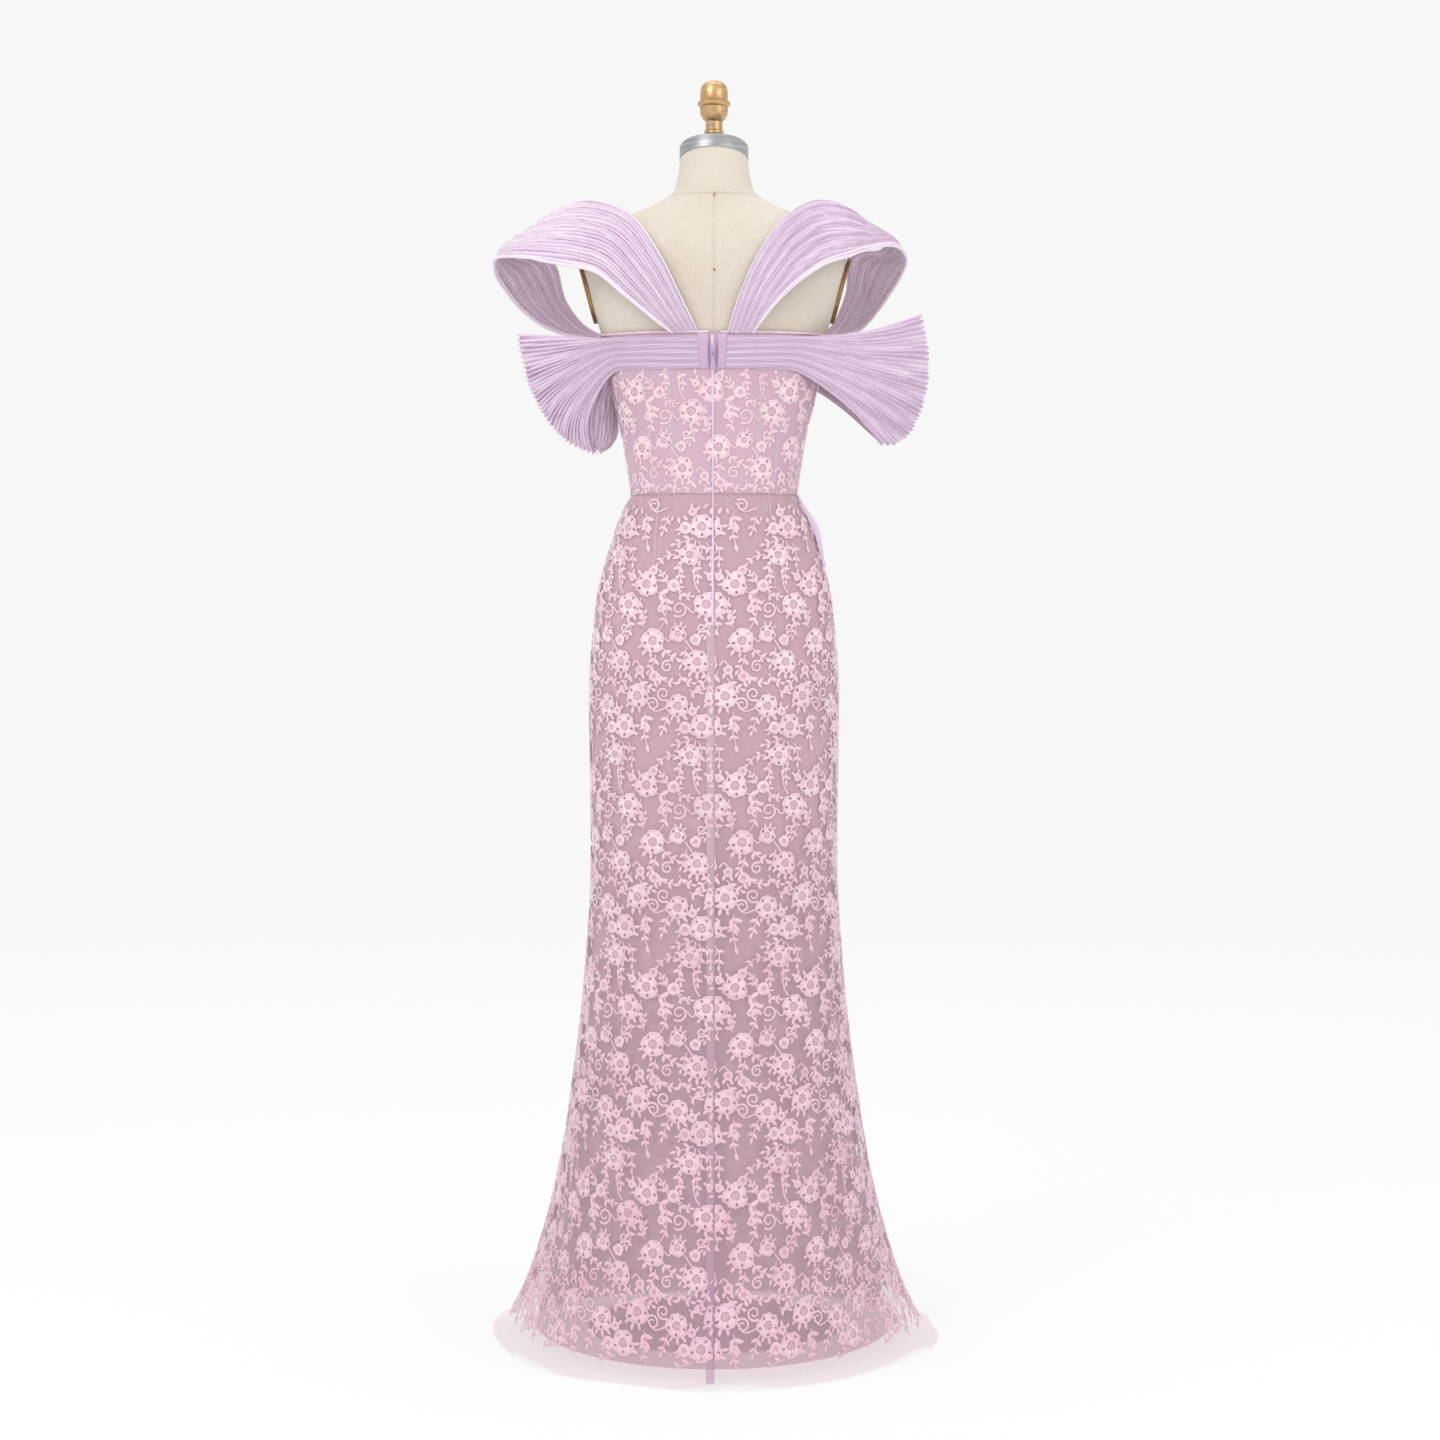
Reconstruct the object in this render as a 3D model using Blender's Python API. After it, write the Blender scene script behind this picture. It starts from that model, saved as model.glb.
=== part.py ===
"""Mermaid gown of corded lace on net, with pleated organza loops and fans, on a limbless dress form.

Metres, +Z up. The floor is z = 0 and the origin lies on the axis of the stand.
The gown's back faces -Y, its front +Y. Left and right are the wearer's: left is -X.
Cloth is a closed wall, and pieces that are sewn together keep a seam gap of 0.3 mm.
"""
import math

import bmesh
import bpy
from mathutils import Matrix, Vector

# Sewing and cloth
SEAM_GAP = 0.0003
CLOTH_GAP = 0.0007
LINING_WALL = 0.0010
NET_WALL = 0.0013
BODICE_WALL = 0.0026
ORGANZA_WALL = 0.0017
ROLLED_EDGE = 0.0036

# Heights of the gown
BODICE_TOP = 1.338
BAND_TOP = 1.334
BAND_BOTTOM = 1.290
WAIST = 1.127
ZIP_END = 0.952
FORM_BOTTOM = 0.716

# Columns round the body: 0 is the centre back, 8 the right side, 16 the centre front
COLUMNS = 32

# Dress form, a row for each section from seat to shoulder line
BODY = (
    # height, half width, front, back, squareness (2 is an ellipse)
    (FORM_BOTTOM, 0.1620, 0.101, 0.113, 2.15),
    (0.850, 0.1640, 0.102, 0.119, 2.15),
    (0.985, 0.1540, 0.096, 0.103, 2.15),
    (1.053, 0.1370, 0.090, 0.087, 2.15),
    (1.087, 0.1260, 0.088, 0.080, 2.15),
    (WAIST, 0.1080, 0.086, 0.074, 2.15),
    (1.175, 0.1147, 0.090, 0.078, 2.15),
    (1.228, 0.1250, 0.101, 0.085, 2.2),
    (BAND_BOTTOM, 0.1410, 0.114, 0.093, 2.3),
    (BODICE_TOP, 0.1505, 0.117, 0.098, 2.4),
    (1.370, 0.1620, 0.113, 0.100, 2.7),
    (1.400, 0.1710, 0.106, 0.101, 2.8),
    (1.430, 0.1770, 0.096, 0.099, 2.8),
    (1.455, 0.1775, 0.081, 0.093, 2.7),
    (1.475, 0.1640, 0.064, 0.083, 2.4),
    (1.490, 0.1400, 0.053, 0.072, 2.2),
    (1.503, 0.1110, 0.048, 0.063, 2.1),
    (1.515, 0.0830, 0.048, 0.057, 2.0),
    (1.528, 0.0590, 0.050, 0.053, 2.0),
)

# Neck of the form, which leans forward: a row for each ring
NECK = (
    # height, radius, forward, tilt in degrees with the back higher
    (1.552, 0.0495, 0.008, 11.0),
    (1.577, 0.0460, 0.016, 18.0),
)

# Flat armholes of the form: a plane that leans out going up, and the plate on it
ARM_PLANE_HEIGHT = 1.345
ARM_PLANE_TOP = 1.460
ARM_PLANE_HALF_WIDTH = 0.1526
ARM_PLANE_SLOPE = 0.2654
ARM_PLATE_HEIGHT = 1.402
ARM_PLATE_HALF_HEIGHT = 0.046
ARM_PLATE_HALF_DEPTH = 0.038
ARM_PLATE_THICKNESS = 0.0053

# Net skirt below the seat, down to the lip that lies on the floor
SKIRT = (
    # height, half width, front, back, squareness
    (0.640, 0.1655, 0.1085, 0.1205, 2.1),
    (0.480, 0.1745, 0.1190, 0.1310, 2.1),
    (0.400, 0.1830, 0.1270, 0.1450, 2.05),
    (0.320, 0.1940, 0.1390, 0.1700, 2.0),
    (0.240, 0.2065, 0.1525, 0.2040, 2.0),
    (0.170, 0.2215, 0.1680, 0.2430, 2.0),
    (0.110, 0.2385, 0.1810, 0.2860, 2.0),
    (0.060, 0.2570, 0.1930, 0.3280, 2.0),
    (0.020, 0.2780, 0.2050, 0.3680, 2.0),
    (0.0035, 0.2900, 0.2130, 0.3860, 2.0),
    (0.0022, 0.3000, 0.2200, 0.3950, 2.0),
)
# Soft flutes of the hem: full depth at the floor, gone at the height where they start
FLUTE_START = 0.46
FLUTE_DEPTH = 0.0075
FLUTES = (
    # waves round the hem, share of the depth, phase in radians
    (6, 0.65, 0.5),
    (9, 0.35, 2.1),
)

# Lining below the seat, narrower than the net and clear of the floor
LINING = (
    # height, half width, front, back, squareness
    (0.640, 0.1600, 0.1035, 0.1150, 2.1),
    (0.480, 0.1660, 0.1110, 0.1230, 2.1),
    (0.300, 0.1810, 0.1300, 0.1600, 2.0),
    (0.170, 0.2080, 0.1520, 0.2250, 2.0),
    (0.060, 0.2260, 0.1680, 0.2950, 2.0),
    (0.014, 0.2420, 0.1800, 0.3300, 2.0),
)

# Bodice panels: the column where each one starts and ends
BODICE_PANELS = {
    "bodice_back_right": (0, 2),
    "bodice_side_back_right": (2, 8),
    "bodice_side_front_right": (8, 13),
    "bodice_front": (13, 19),
    "bodice_side_front_left": (19, 24),
    "bodice_side_back_left": (24, 30),
    "bodice_back_left": (30, 32),
}
SKIRT_PANELS = {
    "skirt_back_right": (0, 8),
    "skirt_front": (8, 24),
    "skirt_back_left": (24, 32),
}
LINING_PANELS = {
    "lining_back_right": (0, 8),
    "lining_front": (8, 24),
    "lining_back_left": (24, 32),
}

# Back neckline bands, measured across from the centre back
BAND_PLEATS = 9
BAND_PLEAT_DEPTH = 0.0006
BAND_END = 0.012
TAB_OVERLAP = 0.002
TAB_THICKNESS = 0.0026
BANDS = {
    # inner edge of the tab, outer edge of the tab, column where the band meets its fan
    "left": (-0.0054, -0.0190, -6),
    "right": (0.0034, 0.0149, 4),
}

# Arm fans: each rib runs from the back root out to an arc, turns there and comes back in front
FAN_PLEATS = 24
FAN_PLEAT_DEPTH = 0.0022
FAN_STEPS = (0.0, 0.35, 0.7, 0.92, 1.0)
FAN_SWELL = 0.6
FANS = {
    "left": {
        "back_column": -6,
        "front_column": -10,
        "centre": (-0.142, 1.296),
        "arc": (
            # share down the fan, angle in degrees, radius
            (0.0, 159.0, 0.1320),
            (0.2, 180.0, 0.1140),
            (0.5, 210.0, 0.1075),
            (0.8, 242.0, 0.1130),
            (1.0, 263.0, 0.1160),
        ),
        "top_bow": (0.0, 0.0),
        "bottom_bow": (-0.022, -0.006),
    },
    "right": {
        "back_column": 4,
        "front_column": 12,
        "centre": (0.116, 1.293),
        "arc": (
            (0.0, 25.5, 0.1785),
            (0.25, 7.0, 0.1733),
            (0.5, -11.0, 0.1710),
            (0.75, -27.0, 0.1695),
            (0.9, -36.0, 0.1630),
            (1.0, -42.0, 0.1445),
        ),
        "top_bow": (0.0, -0.010),
        "bottom_bow": (0.0, 0.010),
    },
}

# Shoulder loops: a row for each section, from behind the shoulder to the leg in front
LOOP_PLEATS = 16
LOOP_PLEAT_DEPTH = 0.0019
LOOP_PLEAT_STEEPNESS = 0.28
LOOPS = {
    "left": {
        "back_foot": (-0.017, -0.0565),
        "front_columns": (-12.3, -10.6),
        "sections": (
            # upper edge x, y, z, lower edge x, y, z
            (-0.0380, -0.110, 1.3707, -0.0780, -0.113, 1.3533),
            (-0.0714, -0.106, 1.4380, -0.1183, -0.121, 1.3854),
            (-0.1116, -0.067, 1.4960, -0.1530, -0.118, 1.4132),
            (-0.1667, -0.010, 1.5204, -0.1896, -0.105, 1.4248),
            (-0.2090, 0.020, 1.5142, -0.2375, -0.080, 1.4352),
            (-0.2435, 0.035, 1.4920, -0.2697, -0.050, 1.4431),
            (-0.2750, 0.050, 1.4697, -0.2908, -0.012, 1.4447),
            (-0.2620, 0.075, 1.4620, -0.2970, 0.020, 1.4385),
            (-0.2200, 0.088, 1.4484, -0.2928, 0.045, 1.4196),
            (-0.2033, 0.100, 1.3955, -0.2626, 0.065, 1.3820),
            (-0.1700, 0.107, 1.3580, -0.2180, 0.073, 1.3535),
        ),
    },
    "right": {
        "back_foot": (0.015, 0.0535),
        "front_columns": (12.3, 10.6),
        "sections": (
            (0.0356, -0.110, 1.3894, 0.0750, -0.116, 1.3672),
            (0.0622, -0.103, 1.4478, 0.1000, -0.120, 1.3930),
            (0.0958, -0.066, 1.4950, 0.1237, -0.118, 1.4117),
            (0.1357, -0.012, 1.5208, 0.1484, -0.110, 1.4275),
            (0.1747, 0.018, 1.5183, 0.1774, -0.092, 1.4390),
            (0.2066, 0.035, 1.4980, 0.2063, -0.060, 1.4514),
            (0.2346, 0.050, 1.4800, 0.2408, -0.015, 1.4613),
            (0.2280, 0.075, 1.4640, 0.2590, 0.018, 1.4490),
            (0.1884, 0.088, 1.4562, 0.2535, 0.045, 1.4246),
            (0.1808, 0.102, 1.4040, 0.2245, 0.065, 1.3817),
            (0.1560, 0.107, 1.3560, 0.1930, 0.078, 1.3514),
        ),
    },
}

# Hip drape in front of the right side seam: it stands off the skirt and falls in soft folds
DRAPE_FIRST_COLUMN = 7.7
DRAPE_LAST_COLUMN = 13
DRAPE_STAND_OFF = 0.0075
DRAPE_FOLD_DEPTH = 0.004
DRAPE_FOLDS = 3
DRAPE_WALL = 0.0016
DRAPE_HEIGHTS = (1.1262, 1.107, 1.087, 1.070, 1.053, 1.030)

# Zip in the centre back seam: its middle is just left of the centre line
ZIP_X = -0.0014
ZIP_WIDTH = 0.0030
ZIP_THICKNESS = 0.0014
SLIDER_HEIGHT = 1.3143
SLIDER_SIZE = (0.0072, 0.0024, 0.0154)
BRIDGE_WIDTH = 0.0016
BRIDGE_BAR = 0.0009
BRIDGE_OPENING = (0.0028, 0.0019)
HINGE_DROP = 0.0035
PULL_THICKNESS = 0.0012
PULL_ROWS = (
    # distance below the hinge, half width of the plate, half width of the eye
    (-0.0005, 0.0024, 0.0014),
    (0.0005, 0.0024, 0.0014),
    (0.0045, 0.0024, 0.0014),
    (0.0075, 0.0019, 0.0010),
    (0.0190, 0.0034, 0.0018),
    (0.0218, 0.0031, 0.0016),
    (0.0230, 0.0020, 0.0010),
)
PULL_EYE_ROWS = (1, 2)

# Neck cap, finial and stand
CAP_RADIUS = 0.0465
CAP_THICKNESS = 0.0195
CAP_EDGE = 0.0012
FINIAL_PROFILE = (
    # radius, height
    (0.0120, 1.6140),
    (0.0132, 1.6155),
    (0.0132, 1.6185),
    (0.0114, 1.6200),
    (0.0114, 1.6310),
    (0.0150, 1.6340),
    (0.0182, 1.6400),
    (0.0192, 1.6510),
    (0.0218, 1.6525),
    (0.0226, 1.6550),
    (0.0214, 1.6575),
    (0.0180, 1.6590),
    (0.0189, 1.6615),
    (0.0186, 1.6720),
    (0.0165, 1.6790),
    (0.0120, 1.6835),
    (0.0060, 1.6855),
)
STEM_RADIUS = 0.0114
SCREW_HEIGHT = 1.6270
SCREW_SIDEWAYS = -0.0034
SCREW_RADIUS = 0.0030
SCREW_LENGTH = 0.0032
POLE_RADIUS = 0.0160
HUB_HEIGHT = 0.052
BASE_PROFILE = (
    # radius, height
    (0.1700, 0.0000),
    (0.1700, 0.0060),
    (0.1640, 0.0095),
    (0.0600, 0.0150),
    (0.0280, 0.0200),
    (0.0240, HUB_HEIGHT),
)

BODICE_IN = CLOTH_GAP
BODICE_OUT = BODICE_IN + BODICE_WALL
LINING_IN = CLOTH_GAP
LINING_OUT = LINING_IN + LINING_WALL
SKIRT_OUT = LINING_OUT + 0.0009 + NET_WALL
BAND_IN = BODICE_OUT + 0.0004
ZIP_IN = SKIRT_OUT + 0.0004
ZIP_OUT = ZIP_IN + ZIP_THICKNESS

MATERIALS = {
    # colour (linear), roughness, metallic
    "lace_net": ((0.78, 0.55, 0.62), 0.62, 0.0),
    "organza": ((0.62, 0.48, 0.68), 0.42, 0.0),
    "lining": ((0.55, 0.40, 0.46), 0.55, 0.0),
    "linen": ((0.76, 0.72, 0.62), 0.85, 0.0),
    "bronze": ((0.42, 0.28, 0.14), 0.45, 0.6),
    "steel": ((0.45, 0.46, 0.47), 0.32, 1.0),
    "brass": ((0.55, 0.33, 0.12), 0.35, 1.0),
    "stand_metal": ((0.18, 0.18, 0.19), 0.5, 0.8),
    "zip_metal": ((0.50, 0.38, 0.58), 0.35, 0.3),
}


def clear_scene():
    for thing in list(bpy.data.objects):
        bpy.data.objects.remove(thing, do_unlink=True)


def material(name):
    found = bpy.data.materials.get(name)
    if found:
        return found
    colour, roughness, metallic = MATERIALS[name]
    made = bpy.data.materials.new(name)
    made.use_nodes = True
    shader = made.node_tree.nodes["Principled BSDF"]
    shader.inputs["Base Color"].default_value = (*colour, 1.0)
    shader.inputs["Roughness"].default_value = roughness
    shader.inputs["Metallic"].default_value = metallic
    return made


def add_object(name, mesh_data, material_name, sharp_degrees=40.0):
    """Makes a smooth shaded object of a bmesh, its faces pointing out."""
    bmesh.ops.recalc_face_normals(mesh_data, faces=mesh_data.faces)
    mesh = bpy.data.meshes.new(name)
    mesh_data.to_mesh(mesh)
    mesh_data.free()
    mesh.shade_smooth()
    mesh.set_sharp_from_angle(angle=math.radians(sharp_degrees))
    mesh.materials.append(material(material_name))
    made = bpy.data.objects.new(name, mesh)
    bpy.context.scene.collection.objects.link(made)
    return made


def mix(first, second, share):
    return first + (second - first) * share


def signed_power(value, power):
    return math.copysign(abs(value) ** power, value)


def section_point(row, column, out):
    """Point of one section at a column, moved out from the axis."""
    height, half_width, front, back, squareness = row
    angle = math.tau * column / COLUMNS
    power = 2.0 / squareness
    depth = (front if math.cos(angle) < 0 else back) + out
    x = (half_width + out) * signed_power(math.sin(angle), power)
    y = -depth * signed_power(math.cos(angle), power)
    return Vector((x, y, height))


def chord_point(row, column, out):
    """Point on the flat side between two whole columns of a section."""
    whole = math.floor(column)
    if column == whole:
        return section_point(row, whole, out)
    return mix(section_point(row, whole, out), section_point(row, whole + 1, out), column - whole)


def body_point(height, column, out):
    """Point on the faceted body at any height and column, moved out."""
    for low, high in zip(BODY, BODY[1:]):
        if low[0] <= height <= high[0]:
            share = (height - low[0]) / (high[0] - low[0])
            return mix(chord_point(low, column, out), chord_point(high, column, out), share)
    raise ValueError("height is off the body")


def outward(height, column):
    """Direction straight out of the body at a height and column."""
    return (body_point(height, column, 0.01) - body_point(height, column, 0.0)).normalized()


def column_at(x):
    """Column of a place near the centre back, given across from the centre line."""
    return x / body_point(BODICE_TOP, 1, 0.0).x


def row_normals(grid, wrapped):
    """Unit normals of a grid of points, from its neighbours along rows and columns."""
    rows = len(grid)
    columns = len(grid[0])
    normals = []
    for r in range(rows):
        line = []
        for c in range(columns):
            left = grid[r][c - 1] if c or wrapped else grid[r][c]
            right = grid[r][(c + 1) % columns] if c + 1 < columns or wrapped else grid[r][c]
            down = grid[min(r + 1, rows - 1)][c] - grid[max(r - 1, 0)][c]
            line.append(down.cross(right - left).normalized())
        normals.append(line)
    return normals


def wall_mesh(outer, inner):
    """Closed wall between two grids of points that have the same rows and columns."""
    made = bmesh.new()
    rows = len(outer)
    columns = len(outer[0])
    sides = [[[made.verts.new(p) for p in row] for row in grid] for grid in (outer, inner)]
    for r in range(rows - 1):
        for c in range(columns - 1):
            for side in sides:
                made.faces.new((side[r][c], side[r][c + 1], side[r + 1][c + 1], side[r + 1][c]))
    for r in (0, rows - 1):
        for c in range(columns - 1):
            made.faces.new((sides[0][r][c], sides[0][r][c + 1], sides[1][r][c + 1], sides[1][r][c]))
    for c in (0, columns - 1):
        for r in range(rows - 1):
            made.faces.new((sides[0][r][c], sides[0][r + 1][c], sides[1][r + 1][c], sides[1][r][c]))
    return made


def trimmed(row):
    """A row of points with half a seam gap taken off both ends."""
    first = row[0] + (row[1] - row[0]).normalized() * (SEAM_GAP / 2)
    last = row[-1] + (row[-2] - row[-1]).normalized() * (SEAM_GAP / 2)
    return [first, *row[1:-1], last]


def panel(name, outer, inner, start, end, material_name):
    """One panel of a full round: its columns from start to end, trimmed for the seams."""
    parts = []
    for grid in (outer, inner):
        parts.append([trimmed([row[c % COLUMNS] for c in range(start, end + 1)]) for row in grid])
    return add_object(name, wall_mesh(*parts), material_name)


def round_grid(rows, out):
    return [[section_point(row, c, out) for c in range(COLUMNS)] for row in rows]


def arm_plane_half_width(height):
    return ARM_PLANE_HALF_WIDTH + ARM_PLANE_SLOPE * (height - ARM_PLANE_HEIGHT)


def add_form():
    """Linen covered torso and neck, closed at the seat and under the neck cap."""
    rings = []
    for row in BODY:
        ring = [section_point(row, c, 0.0) for c in range(COLUMNS)]
        if ARM_PLANE_HEIGHT < row[0] < ARM_PLANE_TOP:
            limit = arm_plane_half_width(row[0])
            for point in ring:
                point.x = max(-limit, min(limit, point.x))
        rings.append(ring)
    for height, radius, forward, tilt in NECK:
        lean = Matrix.Rotation(math.radians(-tilt), 3, "X")
        middle = Vector((0.0, forward, height))
        flat = (0.0, radius, radius, radius, 2.0)
        rings.append([middle + lean @ section_point(flat, c, 0.0) for c in range(COLUMNS)])
    made = bmesh.new()
    verts = [[made.verts.new(p) for p in ring] for ring in rings]
    for low, high in zip(verts, verts[1:]):
        for c in range(COLUMNS):
            after = (c + 1) % COLUMNS
            made.faces.new((low[c], low[after], high[after], high[c]))
    made.faces.new(verts[0])
    made.faces.new(verts[-1])
    add_object("form_torso", made, "linen", 60.0)


def add_arm_plate(side, sign):
    """Oval plate on the flat armhole of the form."""
    lean = math.atan(ARM_PLANE_SLOPE)
    up = Vector((sign * math.sin(lean), 0.0, math.cos(lean)))
    away = Vector((sign * math.cos(lean), 0.0, -math.sin(lean)))
    middle = Vector((sign * arm_plane_half_width(ARM_PLATE_HEIGHT), 0.0, ARM_PLATE_HEIGHT))
    made = bmesh.new()
    loops = []
    edge = 0.0012
    layers = ((0.0, 0.0), (ARM_PLATE_THICKNESS - edge, 0.0), (ARM_PLATE_THICKNESS, edge))
    for height, inset in layers:
        loop = []
        for step in range(24):
            angle = math.tau * step / 24
            across = Vector((0.0, (ARM_PLATE_HALF_DEPTH - inset) * math.cos(angle), 0.0))
            along = up * ((ARM_PLATE_HALF_HEIGHT - inset) * math.sin(angle))
            loop.append(made.verts.new(middle + across + along + away * (SEAM_GAP + height)))
        loops.append(loop)
    for low, high in zip(loops, loops[1:]):
        for step in range(24):
            after = (step + 1) % 24
            made.faces.new((low[step], low[after], high[after], high[step]))
    made.faces.new(loops[0])
    made.faces.new(loops[-1])
    add_object("arm_plate_" + side, made, "bronze")


def lathe(profile, sides, middle=(0.0, 0.0)):
    """Solid of revolution about a vertical axis from a list of radius and height."""
    made = bmesh.new()
    loops = []
    for radius, height in profile:
        loop = []
        for step in range(sides):
            angle = math.tau * step / sides
            x = middle[0] + radius * math.cos(angle)
            y = middle[1] + radius * math.sin(angle)
            loop.append(made.verts.new((x, y, height)))
        loops.append(loop)
    for low, high in zip(loops, loops[1:]):
        for step in range(sides):
            after = (step + 1) % sides
            made.faces.new((low[step], low[after], high[after], high[step]))
    made.faces.new(loops[0])
    made.faces.new(loops[-1])
    return made, loops


def cap_frame():
    """Middle of the neck's top, and the direction that the neck points in."""
    height, _, forward, tilt = NECK[-1]
    lean = Matrix.Rotation(math.radians(-tilt), 4, "X")
    return Vector((0.0, forward, height)), lean


def add_neck_cap():
    """Brushed steel disc on the tilted top of the neck."""
    middle, lean = cap_frame()
    profile = (
        (CAP_RADIUS - CAP_EDGE, SEAM_GAP),
        (CAP_RADIUS, SEAM_GAP + CAP_EDGE),
        (CAP_RADIUS, CAP_THICKNESS - CAP_EDGE),
        (CAP_RADIUS - CAP_EDGE, CAP_THICKNESS),
    )
    made, _ = lathe(profile, 32)
    bmesh.ops.transform(made, matrix=Matrix.Translation(middle) @ lean, verts=made.verts)
    add_object("neck_cap", made, "steel", 30.0)


def finial_axis():
    """Forward place of the finial, which stands at the middle of the cap's top."""
    middle, lean = cap_frame()
    return (middle + lean @ Vector((0.0, 0.0, CAP_THICKNESS))).y


def add_finial():
    """Turned brass finial, its foot cut to the slope of the cap."""
    middle, lean = cap_frame()
    top = middle + lean @ Vector((0.0, 0.0, CAP_THICKNESS))
    slope = math.tan(math.radians(NECK[-1][3]))
    foot = (FINIAL_PROFILE[0][0], top.z)
    made, loops = lathe((foot, *FINIAL_PROFILE), 20, (0.0, top.y))
    for vertex in loops[0]:
        vertex.co.z = top.z - slope * (vertex.co.y - top.y) + SEAM_GAP * 1.5
    add_object("finial", made, "brass", 35.0)


def add_set_screw():
    """Small steel screw in the back of the finial's stem."""
    made, _ = lathe(((SCREW_RADIUS, 0.0), (SCREW_RADIUS, SCREW_LENGTH)), 12)
    turn = Matrix.Rotation(math.radians(90.0), 4, "X")
    back = finial_axis() - STEM_RADIUS - SEAM_GAP
    place = Matrix.Translation((SCREW_SIDEWAYS, back, SCREW_HEIGHT))
    bmesh.ops.transform(made, matrix=place @ turn, verts=made.verts)
    add_object("set_screw", made, "steel", 30.0)


def add_stand():
    """Weighted round base and the pole up to the form, both hidden by the skirt."""
    made, _ = lathe(BASE_PROFILE, 40)
    add_object("stand_base", made, "stand_metal", 30.0)
    profile = ((POLE_RADIUS, HUB_HEIGHT + SEAM_GAP), (POLE_RADIUS, FORM_BOTTOM - SEAM_GAP))
    made, _ = lathe(profile, 16)
    add_object("stand_pole", made, "stand_metal", 30.0)


def add_bodice():
    """Seven underlined panels with boned seams, and an open neckline."""
    rows = [row for row in BODY if WAIST <= row[0] <= BODICE_TOP]
    outer = round_grid(rows, BODICE_OUT)
    inner = round_grid(rows, BODICE_IN)
    for grid in (outer, inner):
        for point in grid[0]:
            point.z += SEAM_GAP
    for name, (start, end) in BODICE_PANELS.items():
        panel(name, outer, inner, start, end, "lace_net")


def flute(column, height):
    """How far a flute of the hem moves a point in or out."""
    if height >= FLUTE_START:
        return 0.0
    angle = math.tau * column / COLUMNS
    wave = sum(share * math.sin(count * angle + phase) for count, share, phase in FLUTES)
    return FLUTE_DEPTH * wave * (1.0 - height / FLUTE_START) ** 1.3


def skirt_rows(table, out):
    upper = [row for row in BODY if row[0] <= WAIST]
    grid = round_grid(reversed(upper), out)
    for row in table:
        grid.append([section_point(row, c, flute(c, row[0])) for c in range(COLUMNS)])
    return grid


def moved(grid, distance):
    """The grid moved along its normals, never below the floor."""
    normals = row_normals(grid, True)
    made = []
    for line, turned in zip(grid, normals):
        made.append([point + normal * distance for point, normal in zip(line, turned)])
    for line in made:
        for point in line:
            point.z = max(0.0, point.z)
    return made


def add_skirt():
    """Three net panels from the waist seam to the lip on the floor, and three lining panels inside."""
    outer = skirt_rows(SKIRT, SKIRT_OUT)
    inner = moved(outer, -NET_WALL)
    for grid in (outer, inner):
        for point in grid[0]:
            point.z = WAIST
    for name, (start, end) in SKIRT_PANELS.items():
        panel(name, outer, inner, start, end, "lace_net")
    outer = skirt_rows(LINING, LINING_OUT)
    inner = moved(outer, -LINING_WALL)
    for grid in (outer, inner):
        for point in grid[0]:
            point.z = WAIST - SEAM_GAP
    for name, (start, end) in LINING_PANELS.items():
        panel(name, outer, inner, start, end, "lining")


def add_band(side):
    """Pleated band along the back neckline, and the smooth tab that ends it at the zip."""
    tab_start, tab_end, last = BANDS[side]
    sign = 1 if last > 0 else -1
    first = column_at(tab_end + sign * SEAM_GAP)
    whole = range(1, abs(last))
    columns = [first, *(sign * c for c in whole), last - sign * BAND_END]
    lines = 2 * BAND_PLEATS + 1
    outer = []
    inner = []
    for column in columns:
        outer.append([])
        inner.append([])
        for line in range(lines):
            height = mix(BAND_TOP, BAND_BOTTOM, line / (lines - 1))
            ridge = BAND_PLEAT_DEPTH * (1 if line % 2 else -1)
            outer[-1].append(body_point(height, column, BAND_IN + ORGANZA_WALL + ridge))
            inner[-1].append(body_point(height, column, BAND_IN))
    add_object("band_" + side, wall_mesh(outer, inner), "organza", 20.0)
    outer = []
    inner = []
    for height in (BAND_TOP + TAB_OVERLAP, BAND_BOTTOM):
        edge = [column_at(tab_start), column_at(tab_end)]
        outer.append([body_point(height, c, BAND_IN + TAB_THICKNESS) for c in edge])
        inner.append([body_point(height, c, BAND_IN) for c in edge])
    add_object("band_tab_" + side, wall_mesh(outer, inner), "organza", 30.0)


def table_value(table, share, column):
    """Value of a table's column at a share, straight between its rows."""
    for low, high in zip(table, table[1:]):
        if share <= high[0]:
            return mix(low[column], high[column], (share - low[0]) / (high[0] - low[0]))
    return table[-1][column]


def fan_point(fan, step, front, share):
    """Point of a fan: share runs down the pleats, step from a root (0) to the turn (1)."""
    angle = math.radians(table_value(fan["arc"], share, 1))
    radius = table_value(fan["arc"], share, 2)
    centre_x, centre_z = fan["centre"]
    rim = Vector((centre_x + radius * math.cos(angle), 0.0, centre_z + radius * math.sin(angle)))
    column = fan["front_column"] if front else fan["back_column"]
    height = mix(BAND_TOP, BAND_BOTTOM, share)
    out = BAND_IN + ORGANZA_WALL / 2 + BAND_PLEAT_DEPTH
    root = body_point(height, column, out)
    point = mix(root, rim, step)
    point.y = root.y * (1.0 - step) ** FAN_SWELL
    bow = mix(Vector(fan["top_bow"]), Vector(fan["bottom_bow"]), share)
    point.x += bow.x * math.sin(math.pi * step)
    point.z += bow.y * math.sin(math.pi * step)
    return point


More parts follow.
